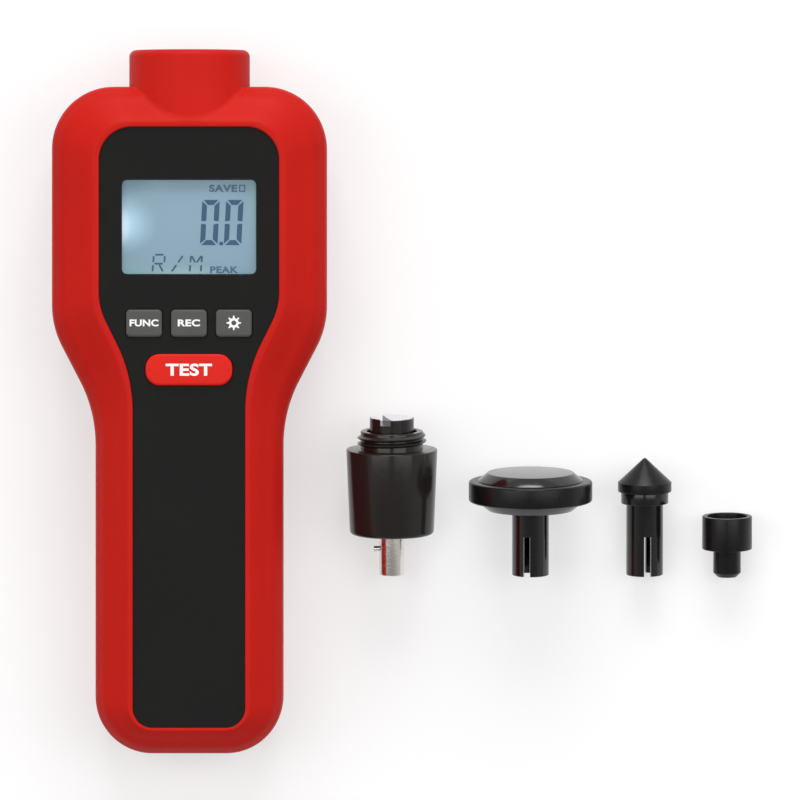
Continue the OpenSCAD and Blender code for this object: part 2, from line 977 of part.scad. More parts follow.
// Optics
module nose_socket() {
    end = nose_end - socket_inset;
    color("#26272a")
        along_nose()
            difference() {
                tube(socket_d / 2, optics_front, end);
                tube(socket_bore_d / 2, optics_front - cut, end + cut);
                tube(window_disc_d / 2, optics_front - cut, optics_front + window_disc_t);
            }
}

module nose_window() {
    color("#5a1a1a", 0.6)
        along_nose()
            tube(window_disc_d / 2, optics_front, optics_front + window_disc_t);
}

module optics_block() {
    color("#1b1b1d")
        along_nose()
            difference() {
                tube(socket_d / 2 - optics_fit, sensor_front, optics_front);
                translate([laser_x, 0, 0]) {
                    tube(laser_d / 2, sensor_front - cut, sensor_front + laser_len);
                    tube(laser_lens_d / 2, sensor_front, optics_front + cut);
                }
                translate([receiver_x, 0, 0]) {
                    tube(diode_bore_d / 2, sensor_front - cut, optics_front);
                    tube(receiver_d / 2, optics_front - receiver_back, optics_front + cut);
                }
            }
}

module laser_module() {
    color("#b8924a")
        along_nose()
            translate([laser_x, 0, 0])
                tube(laser_d / 2, sensor_front, sensor_front + laser_len);
}

module laser_lens() {
    at = sensor_front + laser_len;
    color("#cfe3ee", 0.6)
        along_nose()
            translate([laser_x, 0, 0])
                tube(laser_lens_d / 2, at, at + laser_lens_t);
}

// Plano-convex lens whose crown faces the nose
module receiver_lens() {
    r = receiver_d / 2;
    ball = (r * r + receiver_crown * receiver_crown) / (2 * receiver_crown);
    at = optics_front - receiver_back;
    color("#cfe3ee", 0.6)
        along_nose()
            translate([receiver_x, 0, at])
                rotate_extrude()
                    intersection() {
                        square([r, receiver_edge_t + receiver_crown]);
                        translate([0, receiver_edge_t + receiver_crown - ball])
                            circle(ball, $fn = 96);
                    }
}

module photodiode() {
    color("#2a2230")
        along_nose()
            translate([receiver_x, 0, 0])
                tube(diode_d / 2, sensor_front, sensor_front + diode_len);
}

// Battery cell number k, whose button points at the nose where way is 1
module cell(k, way) {
    spring_end = contact_t + spring_len;
    foot = way > 0 ? tray_start + spring_end : tray_end - spring_end;
    translate([(k - (cell_count - 1) / 2) * cell_pitch, foot, cell_z])
        rotate([-90 * way, 0, 0])
            rotate_extrude()
                polygon([
                    [0, 0], [cell_d / 2 - cell_edge, 0], [cell_d / 2, cell_edge],
                    [cell_d / 2, cell_len - cell_nub_h - cell_edge],
                    [cell_d / 2 - cell_edge, cell_len - cell_nub_h],
                    [cell_nub_d / 2, cell_len - cell_nub_h], [cell_nub_d / 2, cell_len], [0, cell_len]
                ]);
}

module battery_1() {
    color("#c9a227")
        cell(0, 1);
}

module battery_2() {
    color("#c9a227")
        cell(1, -1);
}

module battery_3() {
    color("#c9a227")
        cell(2, 1);
}

// Conical coil of round wire, open at both ends, from z 0 to the given height
module coil(height) {
    rise = height - wire_d;
    last = coil_turns * coil_steps;
    function centre(k) =
        let (
            share = k / last,
            r = (coil_foot_d + share * (coil_head_d - coil_foot_d)) / 2,
            angle = 360 * k / coil_steps
        )
            [r * cos(angle), r * sin(angle), wire_d / 2 + share * rise];
    points = [
        for (k = [0:last], s = [0:coil_sides - 1])
            let (
                c = centre(k),
                out = unit([c.x, c.y, 0]),
                angle = 360 * s / coil_sides + coil_facet_turn,
                r = wire_d / 2
            )
                c + r * cos(angle) * out + [0, 0, r * sin(angle)]
    ];
    polyhedron(
        points = points,
        faces = concat(
            [[for (s = [0:coil_sides - 1]) s]],
            [
                for (k = [0:last - 1], s = [0:coil_sides - 1])
                    let (a = k * coil_sides + s, b = k * coil_sides + (s + 1) % coil_sides)
                        each [[a, a + coil_sides, b + coil_sides], [a, b + coil_sides, b]]
            ],
            [[for (s = [coil_sides - 1:-1:0]) last * coil_sides + s]]
        )
    );
}

module battery_springs() {
    color("#b9bcc0")
        for (k = [0:cell_count - 1]) {
            way = k % 2 == 0 ? 1 : -1;
            wall = way > 0 ? tray_start + contact_t : tray_end - contact_t;
            translate([(k - (cell_count - 1) / 2) * cell_pitch, wall, cell_z])
                rotate([-90 * way, 0, 0])
                    coil(spring_len);
        }
}

// Plate on each end wall, with a raised button where a cell's own button meets it
module battery_contacts() {
    half = contact_w / 2;
    color("#b9bcc0")
        for (k = [0:cell_count - 1]) {
            way = k % 2 == 0 ? 1 : -1;
            plus_wall = way > 0 ? tray_end : tray_start;
            translate([(k - (cell_count - 1) / 2) * cell_pitch, 0, 0]) {
                box(-half, half, tray_start, tray_start + contact_t, cell_z - half, cell_z + half);
                box(-half, half, tray_end - contact_t, tray_end, cell_z - half, cell_z + half);
                translate([0, plus_wall, cell_z])
                    rotate([90 * way, 0, 0])
                        cylinder(d = contact_bump_d, h = contact_t + contact_bump);
            }
        }
}

// How high the axis's foot lies so that a rim of radius r, at distance h up the axis, rests on the floor
function rest_height(h, r) = r * cos(kit_tilt) - h * sin(kit_tilt);

adapter_z = rest_height(spindle_out + housing_edge, adapter_d / 2 - housing_edge) + housing_edge;
wheel_z = rest_height(wheel_stem_len + wheel_low_t + tyre_edge, wheel_d / 2 - tyre_edge) + tyre_edge;
holder_z = rest_height(stem_chamfer, stem_d / 2);
cup_z = rest_height(plug_len, cup_d / 2);

// Lays a piece made along +Z beside the meter, its lower end towards the foot of the case
module laid(x, z, drop = 0) {
    translate([x, kit_foot_y - drop, z])
        rotate([kit_tilt - 90, 0, 0])
            children();
}

// Contact adapter
module adapter_housing() {
    r0 = adapter_d / 2;
    r1 = adapter_top_d / 2;
    clip_at = upper_bearing_at + bearing_w;
    color("#2b2726")
        laid(adapter_x, adapter_z)
            difference() {
                rotate_extrude() {
                    polygon([
                        [0, spindle_out], [r0 - housing_edge, spindle_out],
                        [r0, spindle_out + housing_edge], [r1, thread_at],
                        [thread_d / 2, thread_at], [thread_d / 2, thread_end], [0, thread_end]
                    ]);
                    intersection() {
                        translate([r0 - housing_edge, spindle_out + housing_edge])
                            circle(housing_edge);
                        translate([0, spindle_out])
                            square([r0, housing_edge]);
                    }
                }
                tube(floor_hole_d / 2, spindle_out - cut, thread_end);
                tube(bearing_od / 2, lower_bearing_at, thread_end + cut);
                tube(bearing_od / 2 + clip_bite, clip_at, clip_at + clip_t);
            }
}

module adapter_spindle() {
    r = spindle_d / 2;
    b = bearing_bore / 2;
    end = rotor_at + rotor_spindle_bite;
    color("#c9c8c6")
        laid(adapter_x, adapter_z)
            difference() {
                rotate_extrude()
                    polygon([
                        [0, 0], [r - spindle_chamfer, 0], [r, spindle_chamfer], [r, lower_bearing_at],
                        [b, lower_bearing_at], [b, end], [0, end]
                    ]);
                translate([0, 0, pin_at])
                    rotate([0, -90, 0])
                        tube(pin_d / 2, -r, r + cut);
            }
}

module cross_pin() {
    r = spindle_d / 2;
    color("#b4b2af")
        laid(adapter_x, adapter_z)
            intersection() {
                translate([0, 0, pin_at])
                    rotate([0, -90, 0])
                        tube(pin_d / 2, -r, r + pin_out);
                union() {
                    tube(r, 0, spindle_out);
                    box(-r - pin_out, 0, -r, r, 0, spindle_out);
                }
            }
}

// Slot across the rotor's end, to one side of its middle
module rotor_slot() {
    rotate([0, 0, rotor_slot_turn])
        box(-rotor_slot_off - rotor_slot_w / 2, rotor_slot_w / 2 - rotor_slot_off, -rotor_d, rotor_d,
            rotor_end - rotor_slot_depth, rotor_end + cut);
}

module rotor() {
    color("#252322")
        laid(adapter_x, adapter_z)
            difference() {
                union() {
                    tube(rotor_hub_d / 2, rotor_hub_at, rotor_at + root);
                    tube(rotor_d / 2, rotor_at, rotor_end - foil_t);
                }
                tube(bearing_bore / 2, rotor_hub_at - cut, rotor_at + rotor_spindle_bite);
                rotor_slot();
            }
}

module rotor_reflectors() {
    color("#e9eaec")
        laid(adapter_x, adapter_z)
            difference() {
                tube(rotor_d / 2 - foil_inset, rotor_end - foil_t, rotor_end);
                rotor_slot();
            }
}

// Ball bearing parts along +Z from z 0: a grooved ring between two radii
module race(inner, outer) {
    rotate_extrude()
        difference() {
            translate([inner, 0])
                square([outer - inner, bearing_w]);
            translate([ball_orbit_d / 2, bearing_w / 2])
                circle(ball_d / 2 + ball_fit);
        }
}

module at_bearings() {
    laid(adapter_x, adapter_z)
        for (h = [lower_bearing_at, upper_bearing_at])
            translate([0, 0, h])
                children();
}

module bearing_outer_rings() {
    color("#a9abae")
        at_bearings()
            race(bearing_od / 2 - ring_wall, bearing_od / 2);
}

module bearing_inner_rings() {
    color("#a9abae")
        at_bearings()
            race(bearing_bore / 2, bearing_bore / 2 + ring_wall);
}

module bearing_balls() {
    color("#d5d6d8")
        at_bearings()
            for (k = [0:ball_count - 1])
                rotate([0, 0, 360 * k / ball_count])
                    translate([ball_orbit_d / 2, 0, bearing_w / 2])
                        sphere(d = ball_d, $fn = 24);
}

module outer_spacer() {
    color("#8d7440")
        laid(adapter_x, adapter_z)
            difference() {
                tube(bearing_od / 2, lower_bearing_at + bearing_w, upper_bearing_at);
                tube(bearing_od / 2 - spacer_t, lower_bearing_at, upper_bearing_at + cut);
            }
}

module inner_spacer() {
    color("#8d7440")
        laid(adapter_x, adapter_z)
            difference() {
                tube(bearing_bore / 2 + spacer_t, lower_bearing_at + bearing_w, upper_bearing_at);
                tube(bearing_bore / 2, lower_bearing_at, upper_bearing_at + cut);
            }
}

module retaining_ring() {
    at = upper_bearing_at + bearing_w;
    r = bearing_od / 2 + clip_bite;
    color("#77797c")
        laid(adapter_x, adapter_z)
            rotate([0, 0, clip_gap_angle / 2])
                rotate_extrude(angle = 360 - clip_gap_angle)
                    translate([r - clip_w, at])
                        square([clip_w, clip_t]);
}

// Bore and slot that grip the spindle, from the lower end of a stem
module stem_cuts(turn) {
    tube(stem_bore_d / 2, -cut, stem_bore_len);
    rotate([0, 0, turn])
        box(-stem_slot_w / 2, stem_slot_w / 2, -stem_d, stem_d, -cut, stem_slot_len);
}

module wheel_hub() {
    low = wheel_stem_len + wheel_low_t;
    high = low + tyre_w;
    top = high + wheel_top_t;
    color("#232120")
        laid(wheel_x, wheel_z)
            difference() {
                rotate_extrude()
                    polygon([
                        [0, 0], [stem_d / 2 - stem_chamfer, 0], [stem_d / 2, stem_chamfer],
                        [stem_d / 2, wheel_stem_len], [wheel_top_d / 2, wheel_stem_len],
                        [wheel_rim_d / 2, low], [wheel_core_d / 2, low],
                        [wheel_core_d / 2, high], [wheel_rim_d / 2, high],
                        [wheel_top_d / 2, top], [0, top]
                    ]);
                stem_cuts(wheel_slot_turn);
            }
}

module wheel_tyre() {
    low = wheel_stem_len + wheel_low_t;
    r = wheel_d / 2;
    color("#1e1d1d")
        laid(wheel_x, wheel_z)
            rotate_extrude()
                difference() {
                    translate([wheel_core_d / 2, low])
                        square([r - wheel_core_d / 2, tyre_w]);
                    for (side = [0, 1])
                        translate([r - tyre_edge, side > 0 ? low + tyre_w - tyre_edge : low + tyre_edge])
                            mirror([0, 1 - side])
                                difference() {
                                    square(tyre_edge + cut);
                                    circle(tyre_edge);
                                }
                }
}

module tip_holder() {
    top = holder_stem_len + step_t;
    color("#242221")
        laid(cone_x, holder_z)
            difference() {
                rotate_extrude()
                    polygon([
                        [0, 0], [stem_d / 2 - stem_chamfer, 0], [stem_d / 2, stem_chamfer],
                        [stem_d / 2, holder_stem_len], [step_d / 2, holder_stem_len],
                        [step_d / 2, top], [0, top]
                    ]);
                stem_cuts(holder_slot_turn);
                tube(plug_d / 2, top - plug_len - plug_room, top + cut);
            }
}

// Rubber plug from z 0 down, with a chamfered end
function plug_side() = [
    [0, -plug_len], [plug_d / 2 - plug_chamfer, -plug_len],
    [plug_d / 2, plug_chamfer - plug_len], [plug_d / 2, 0]
];

module cone_tip() {
    color("#1f1e1e")
        laid(cone_x, holder_z)
            translate([0, 0, holder_stem_len + step_t])
                rotate_extrude()
                    polygon(concat(plug_side(), [
                        [cone_d / 2, 0], [cone_d / 2, cone_base_t],
                        [cone_point_d / 2, cone_base_t + cone_h], [0, cone_base_t + cone_h]
                    ]));
}

module cup_tip() {
    color("#201f1f")
        laid(cup_x, cup_z, cup_drop)
            translate([0, 0, plug_len])
                rotate_extrude()
                    polygon(concat(plug_side(), [
                        [cup_d / 2, 0], [cup_d / 2, cup_h], [mouth_d / 2, cup_h],
                        [mouth_d / 2, cup_h - mouth_depth], [0, cup_h - mouth_depth]
                    ]));
}

front_shell();
front_jacket();
rear_shell();
rear_jacket();
battery_cover();
case_screws();
display_window();
lcd_glass();
lcd_frame();
backlight_guide();
zebra_strip();
mode_key();
memory_key();
light_key();
measure_key();
key_mat();
main_board();
board_parts();
board_screws();
sensor_board();
board_header();
nose_socket();
nose_window();
optics_block();
laser_module();
laser_lens();
receiver_lens();
photodiode();
battery_1();
battery_2();
battery_3();
battery_springs();
battery_contacts();
adapter_housing();
adapter_spindle();
cross_pin();
rotor();
rotor_reflectors();
bearing_outer_rings();
bearing_inner_rings();
bearing_balls();
outer_spacer();
inner_spacer();
retaining_ring();
wheel_hub();
wheel_tyre();
tip_holder();
cone_tip();
cup_tip();
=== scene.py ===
"""Looks of a hand-held laser tachometer with its contact adapter and tips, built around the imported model.

Sizes are in millimetres until a mesh is made, which turns them into metres.
"""

import math

import bpy
from mathutils import Matrix, Vector

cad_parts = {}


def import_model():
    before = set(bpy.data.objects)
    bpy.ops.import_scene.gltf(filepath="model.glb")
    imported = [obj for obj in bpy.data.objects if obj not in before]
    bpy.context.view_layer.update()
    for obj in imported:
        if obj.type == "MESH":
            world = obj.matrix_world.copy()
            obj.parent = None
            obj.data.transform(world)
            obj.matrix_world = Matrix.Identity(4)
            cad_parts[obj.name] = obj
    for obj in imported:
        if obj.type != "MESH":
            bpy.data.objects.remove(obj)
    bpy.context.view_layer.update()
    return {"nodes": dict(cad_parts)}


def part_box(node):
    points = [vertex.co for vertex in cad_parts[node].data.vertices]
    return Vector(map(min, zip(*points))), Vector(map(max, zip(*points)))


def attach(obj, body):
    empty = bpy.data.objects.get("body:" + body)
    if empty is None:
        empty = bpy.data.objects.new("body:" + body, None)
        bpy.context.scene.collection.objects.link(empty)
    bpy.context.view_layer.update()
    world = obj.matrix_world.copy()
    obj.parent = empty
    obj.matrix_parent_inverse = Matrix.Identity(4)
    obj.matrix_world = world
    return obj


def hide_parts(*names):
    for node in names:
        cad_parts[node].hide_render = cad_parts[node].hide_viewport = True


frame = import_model()

MM = 0.001
ROOT = "instrument"
scene = bpy.context.scene

# Case, as the solids have it
BODY_LEN = 171.2
HEAD_W = 70.6
HANDLE_W = 48.2
CASE_T = 38.0
SEAM_Z = 22.0
WAIST_Y = 2.3
SHOULDER_Y = 23.9
CASE_RADII = (14.6, 35.7, 23.1, 15.9)
JACKET_T = 2.2
BORDER_DEPTH = 11.0
BACK_DEPTH = 9.0
BACK_SHARE = 0.5
LIP_H = 0.8
PANEL_Z = CASE_T - LIP_H
SHELL_T = 2.0
PANEL_UNDER = PANEL_Z - SHELL_T
PANEL_SIDE = ((14.4, -78.9), (14.4, 11.3), (23.1, 28.8), (23.1, 75.2))
PANEL_RADII = (5.1, 39.0, 17.5, 8.5)
FRONT_BORDER_SHARES = (
    (0, 1), (0.01, 0.89), (0.04, 0.78), (0.096, 0.69), (0.24, 0.49), (0.45, 0.33),
    (0.66, 0.155), (0.8, 0.05), (0.88, 0), (0.97, 0),
)
BACK_BORDER_SHARES = ((0.42, 0), (0.32, 0.067), (0.2, 0.2), (0.1, 0.4), (0.03, 0.667), (0, 1))

# Nose
NOSE_R = 15.5
NOSE_END = BODY_LEN / 2 + 9.5
NOSE_ROOT = 76.0
NOSE_EDGE = 1.8
TUBE_R = NOSE_R - JACKET_T
SOCKET_R = 11.2
SOCKET_BORE_R = 8.2
SOCKET_FRONT = NOSE_END - 0.8
SOCKET_BACK = SOCKET_FRONT - 12.3
THREAD_PITCH = 1.5

# Display and keys
WINDOW_W, WINDOW_H, WINDOW_Y, WINDOW_R = 35.4, 25.1, 49.5, 1.8
VIEW_W, VIEW_H = 34.4, 24.1
WINDOW_T = 1.4
KEY_W, KEY_H, KEY_Y, KEY_PITCH, KEY_R = 9.25, 7.0, 24.8, 11.5, 1.1
KEY_TOP = PANEL_Z + 1.0
MEASURE_W, MEASURE_H, MEASURE_Y, MEASURE_R = 22.3, 8.05, 12.9, 3.6
MEASURE_TOP = PANEL_Z + 1.2

# Accessories
KIT_TILT = math.radians(8)
KIT_FOOT_Y = -39.9
CUP_DROP = 0.5
ADAPTER_X, WHEEL_X, CONE_X, CUP_X = 52.0, 87.7, 117.2, 138.45


def rest_height(h, r):
    """Height of an accessory's foot, where a rim of radius r at distance h up its axis is on the floor."""
    return r * math.cos(KIT_TILT) - h * math.sin(KIT_TILT)


ADAPTER_Z = rest_height(11.7, 9.875) + 1
WHEEL_Z = rest_height(19.8, 15.315) + 0.6
HOLDER_Z = rest_height(0.3, 4.75)
CUP_Z = rest_height(7.24, 6.425)


def laid(x, z, drop=0.0):
    """Placing of an accessory made along +Z beside the meter."""
    return Matrix.Translation((x, KIT_FOOT_Y - drop, z)) @ Matrix.Rotation(KIT_TILT - math.pi / 2, 4, "X")


ALONG_NOSE = Matrix.Translation((0, 0, SEAM_Z)) @ Matrix.Rotation(-math.pi / 2, 4, "X")


# Colours and materials


def linear(hexcode, alpha=1.0):
    """A hex colour as the linear values that a shader takes."""
    out = []
    for k in (0, 2, 4):
        c = int(hexcode[k:k + 2], 16) / 255
        out.append(c / 12.92 if c <= 0.04045 else ((c + 0.055) / 1.055) ** 2.4)
    return (*out, alpha)


def maths(tree, operation, *terms):
    """Output of a math node over sockets and plain numbers."""
    made = tree.nodes.new("ShaderNodeMath")
    made.operation = operation
    for socket, term in zip(made.inputs, terms):
        if isinstance(term, float):
            socket.default_value = term
        else:
            tree.links.new(term, socket)
    return made.outputs[0]


class Maker:
    """Builds one node material round a Principled shader."""

    def __init__(self, name, colour, rough, **sockets):
        self.material = bpy.data.materials.new(name)
        self.material.use_nodes = True
        self.tree = self.material.node_tree
        self.shader = self.tree.nodes["Principled BSDF"]
        self.shader.inputs["Base Color"].default_value = colour
        self.shader.inputs["Roughness"].default_value = rough
        for socket, value in sockets.items():
            self.shader.inputs[socket.replace("_", " ")].default_value = value
        self.coords = self.tree.nodes.new("ShaderNodeTexCoord")

    def node(self, kind, **values):
        """A new node, with the given values on its sockets, or else on the node itself."""
        made = self.tree.nodes.new(kind)
        for key, value in values.items():
            if key in made.inputs:
                made.inputs[key].default_value = value
            else:
                setattr(made, key, value)
        return made

    def link(self, a, b):
        self.tree.links.new(a, b)

    def noise(self, scale, detail, stretch=None):
        """Noise in the object's own frame, drawn out where stretch is small."""
        texture = self.node("ShaderNodeTexNoise", Scale=scale, Detail=detail)
        source = self.coords.outputs["Object"]
        if stretch:
            mapping = self.node("ShaderNodeMapping", Scale=stretch)
            self.link(source, mapping.inputs["Vector"])
            source = mapping.outputs["Vector"]
        self.link(source, texture.inputs["Vector"])
        return texture.outputs["Fac"]

    def spread(self, fac, low, high):
        """Maps a noise's middle range to low..high."""
        ramp = self.node("ShaderNodeMapRange")
        ramp.inputs["From Min"].default_value = 0.3
        ramp.inputs["From Max"].default_value = 0.7
        ramp.inputs["To Min"].default_value = low
        ramp.inputs["To Max"].default_value = high
        self.link(fac, ramp.inputs["Value"])
        return ramp.outputs["Result"]

    def tint(self, fac, first, second):
        """Mix of two colours, the first one where fac is 0."""
        mix = self.node("ShaderNodeMix", data_type="RGBA")
        mix.inputs["A"].default_value = first
        mix.inputs["B"].default_value = second
        self.link(fac, mix.inputs["Factor"])
        return mix.outputs["Result"]

    def bump(self, fac, distance, strength, chain=None):
        """Bumped normal, on top of the one in chain."""
        made = self.node("ShaderNodeBump", Strength=strength, Distance=distance)
        self.link(fac, made.inputs["Height"])
        if chain:
            self.link(chain, made.inputs["Normal"])
        return made.outputs["Normal"]

    def colour(self, socket):
        self.link(socket, self.shader.inputs["Base Color"])

    def rough(self, socket):
        self.link(socket, self.shader.inputs["Roughness"])

    def normal(self, socket):
        self.link(socket, self.shader.inputs["Normal"])


def scaled(colour, by):
    """A linear colour made lighter or darker."""
    return (*(min(1.0, c * by) for c in colour[:3]), 1.0)


def moulded(name, hexcode, rough, grain=5200, depth=0.000012, vary=0.06, **sockets):
    """Moulded plastic or rubber: a fine texture, with slight unevenness of colour and sheen."""
    colour = linear(hexcode)
    m = Maker(name, colour, rough, **sockets)
    blotch = m.noise(55, 4)
    m.colour(m.tint(m.spread(blotch, 0, 1), scaled(colour, 1 - vary), scaled(colour, 1 + vary)))
    m.rough(m.spread(m.noise(900, 3), rough - 0.04, rough + 0.05))
    soft = m.bump(m.noise(380, 2), depth * 1.6, 0.5)
    m.normal(m.bump(m.noise(grain, 4), depth, 0.55, soft))
    return m.material


def metal(name, hexcode, rough, stretch=(1, 1, 1), depth=0.000006, vary=0.06):
    """Machined metal, with tool marks drawn out along the axes of least stretch."""
    colour = linear(hexcode)
    m = Maker(name, colour, rough, Metallic=1.0)
    marks = m.noise(2600, 4, stretch)
    m.colour(m.tint(m.spread(m.noise(240, 3), 0, 1), scaled(colour, 1 - vary), scaled(colour, 1 + vary)))
    m.rough(m.spread(marks, rough - 0.05, rough + 0.07))
    m.normal(m.bump(marks, depth, 0.5))
    return m.material


def glassy(name, hexcode, alpha, rough=0.04):
    """Clear moulded sheet with faint smears."""
    m = Maker(name, linear(hexcode), rough, Alpha=alpha, IOR=1.49)
    m.rough(m.spread(m.noise(120, 3), rough, rough + 0.06))
    m.normal(m.bump(m.noise(60, 2), 0.000004, 0.3))
    return m.material


def display_face():
    """Lit display ground: blue-grey, with the backlight's glow painted into its colour at its left (painted
    light) and deeper tones at its corners and edges as painted shade where that glow falls off; the same
    colour drives a faint emission.
    """
    m = Maker("display_face", linear("8FAAB8"), 0.28)
    m.shader.inputs["Emission Strength"].default_value = 0.12
    split = m.node("ShaderNodeSeparateXYZ")
    m.link(m.coords.outputs["Object"], split.inputs["Vector"])

    def away(centre_x, centre_y, wide, high):
        """0 at the centre, 1 at an oval's edge and beyond."""
        squares = []
        for axis, centre, half in (("X", centre_x, wide), ("Y", centre_y, high)):
            shift = maths(m.tree, "SUBTRACT", split.outputs[axis], centre * MM)
            share = maths(m.tree, "DIVIDE", shift, half * MM)
            squares.append(maths(m.tree, "MULTIPLY", share, share))
        root = maths(m.tree, "SQRT", maths(m.tree, "ADD", *squares))
        ease = m.node("ShaderNodeMapRange", interpolation_type="SMOOTHSTEP")
        m.link(root, ease.inputs["Value"])
        return ease.outputs["Result"]

    left, right = -VIEW_W / 2, VIEW_W / 2
    top, foot = WINDOW_Y + VIEW_H / 2, WINDOW_Y - VIEW_H / 2

    def over(colour_socket, fac, shade):
        """The shade where fac is 0, and the colours under it where fac is 1."""
        mix = m.node("ShaderNodeMix", data_type="RGBA")
        mix.inputs["A"].default_value = linear(shade)
        m.link(fac, mix.inputs["Factor"])
        m.link(colour_socket, mix.inputs["B"])
        return mix.outputs["Result"]

    ground = m.tint(m.spread(m.noise(45, 2), 0, 1), linear("7A98A9"), linear("83A0B1"))
    # Painted shade: deeper and shifted tones at the corners and edges, where the backlight's glow falls off
    ground = over(ground, away(left + 1.5, top, 9.5, 5.5), "7293A1")
    ground = over(ground, away(left + 1.5, foot, 8, 5), "7BA0A8")
    ground = over(ground, away(right, top - 6, 3.2, 14), "83A6AC")
    ground = over(ground, away(0, foot, 17, 2.6), "8FB0B4")
    # Painted light: the backlight's bright glow at the left edge, in the base colour as well as the emission
    ground = over(ground, away(left - 0.6, WINDOW_Y + 0.8, 10.5, 8.6), "B4D8EC")
    ground = over(ground, away(left - 0.4, WINDOW_Y + 0.2, 3.2, 6.2), "E2F4FF")
    m.colour(ground)
    m.link(ground, m.shader.inputs["Emission Color"])
    return m.material


def reflector_foil():
    """Slightly crumpled bright foil."""
    m = Maker("reflector_foil", linear("E9EAEC"), 0.3, Metallic=1.0)
    m.rough(m.spread(m.noise(700, 3), 0.24, 0.36))
    m.normal(m.bump(m.noise(300, 2), 0.000006, 0.5))
    return m.material


def circuit_board():
    """Solder mask with copper tracks showing faintly under it."""
    m = Maker("circuit_board", linear("1F6B3A"), 0.32, Coat_Weight=0.3)
    grid = m.node("ShaderNodeTexBrick", Scale=420.0)
    m.link(m.coords.outputs["Object"], grid.inputs["Vector"])
    m.colour(m.tint(m.spread(m.noise(600, 2), 0, 1), linear("1A5D33"), linear("2A7A45")))
    m.normal(m.bump(grid.outputs["Fac"], 0.00001, 0.4))
    return m.material


jacket_red = moulded("jacket_red", "BF180E", 0.52, grain=4200, depth=0.000008, vary=0.03,
                     Specular_IOR_Level=0.12)
casing_black = moulded("casing_black", "121110", 0.42, grain=5200, depth=0.000007, vary=0.08,
                       Specular_IOR_Level=0.13)
key_grey = moulded("key_grey", "4C4C4A", 0.5, grain=6500, vary=0.04, Specular_IOR_Level=0.3)
key_red = moulded("key_red", "D61F14", 0.45, grain=6500, depth=0.000006, vary=0.02, Specular_IOR_Level=0.15)
label_white = moulded("label_white", "F4F3F1", 0.45, grain=9000, depth=0.000004, vary=0.01)
display_ink = moulded("display_ink", "1F4C6F", 0.4, grain=9000, depth=0.000002, vary=0.03)
display_ink_thin = moulded("display_ink_thin", "2C5663", 0.4, grain=9000, depth=0.000002, vary=0.03)
display_ink_dark = moulded("display_ink_dark", "3E6680", 0.4, grain=9000, depth=0.000002, vary=0.03)
white_plastic = moulded("white_plastic", "DADBD5", 0.45)
grey_rubber = moulded("grey_rubber", "999997", 0.6)
black_rubber = moulded("black_rubber", "0F0E0E", 0.3, grain=2600, depth=0.000002, vary=0.06,
                       Specular_IOR_Level=0.26)
hub_plastic = moulded("hub_plastic", "131110", 0.12, grain=2600, depth=0.0000008, vary=0.06,
                      Specular_IOR_Level=0.6)
black_plastic = moulded("black_plastic", "151312", 0.15, grain=2600, depth=0.0000012, vary=0.06,
                        Specular_IOR_Level=0.48)
black_parts = moulded("black_parts", "232326", 0.5)
anodised = moulded("anodised_black", "221E1D", 0.17, grain=2600, depth=0.0000012, vary=0.05,
                   Specular_IOR_Level=0.35)
clear_window = glassy("clear_window", "7C878C", 0.04)
red_filter = glassy("red_filter", "5A1414", 0.75)
lens_glass = glassy("lens_glass", "DCEBF2", 0.35, 0.02)
zinc = metal("zinc", "B4B5B8", 0.34)
nickel = metal("nickel", "BFC1C4", 0.28)
brass = metal("brass", "B8924A", 0.3)
ground_steel = metal("ground_steel", "E6E2DC", 0.22, (0.2, 5, 0.2), 0.0000004, 0.02)
bearing_steel = metal("bearing_steel", "B0B2B5", 0.2)
battery_sleeve = moulded("battery_sleeve", "C79A1E", 0.28, grain=9000, depth=0.000003)
battery_dark = moulded("battery_dark", "20201F", 0.3, grain=9000, depth=0.000003)
board_green = circuit_board()
foil = reflector_foil()
display_ground = display_face()


# Meshes


SHARP = 32  # degrees over which an edge stays hard


def shape(name, points, faces, place=None):
    """A bare mesh from points in millimetres."""
    mesh = bpy.data.meshes.new(name)
    mesh.from_pydata([tuple(p) for p in points], [], faces)
    if place is not None:
        mesh.transform(place)
    mesh.transform(Matrix.Scale(MM, 4))
    obj = bpy.data.objects.new(name, mesh)
    scene.collection.objects.link(obj)
    return obj


def piece(name, points, faces, material, body=ROOT, replaces=(), place=None, sharp=SHARP):
    """A dressed mesh from points in millimetres."""
    obj = shape(name, points, faces, place)
    dress(obj, material, body, replaces, sharp)
    return obj


def crease(mesh, sharp=SHARP):
    """Smooth faces, with hard edges where two faces meet at more than the given angle."""
    mesh.shade_smooth()
    limit = math.cos(math.radians(sharp))
    normals = [p.normal.copy() for p in mesh.polygons]
    meeting = {}
    for p in mesh.polygons:
        for key in p.edge_keys:
            meeting.setdefault(key, []).append(p.index)
    for edge in mesh.edges:
        faces = meeting.get(tuple(sorted(edge.vertices)), [])
        if len(faces) == 2 and normals[faces[0]].dot(normals[faces[1]]) < limit:
            edge.use_edge_sharp = True


def dress(obj, material, body, replaces=(), sharp=SHARP):
    """Gives obj its edges, its material, the body it moves with and the solids whose place it takes."""
    crease(obj.data, sharp)
    obj.data.materials.clear()
    obj.data.materials.append(material)
    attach(obj, body)
    if replaces:
        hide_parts(*replaces)


def combine(obj, other, operation):
    """Unites obj with other or cuts it, and deletes other."""
    modifier = obj.modifiers.new("combine", "BOOLEAN")
    modifier.object = other
    modifier.operation = operation
    modifier.solver = "EXACT"
    graph = bpy.context.evaluated_depsgraph_get()
    mesh = bpy.data.meshes.new_from_object(obj.evaluated_get(graph))
    obj.modifiers.clear()
    old = obj.data
    obj.data = mesh
    bpy.data.meshes.remove(old)
    bpy.data.objects.remove(other)


def cut(obj, box, place=None):
    """Cuts a box (x0, x1, y0, y1, z0, z1) out of obj."""
    combine(obj, shape("tool", *block(*box), place), "DIFFERENCE")


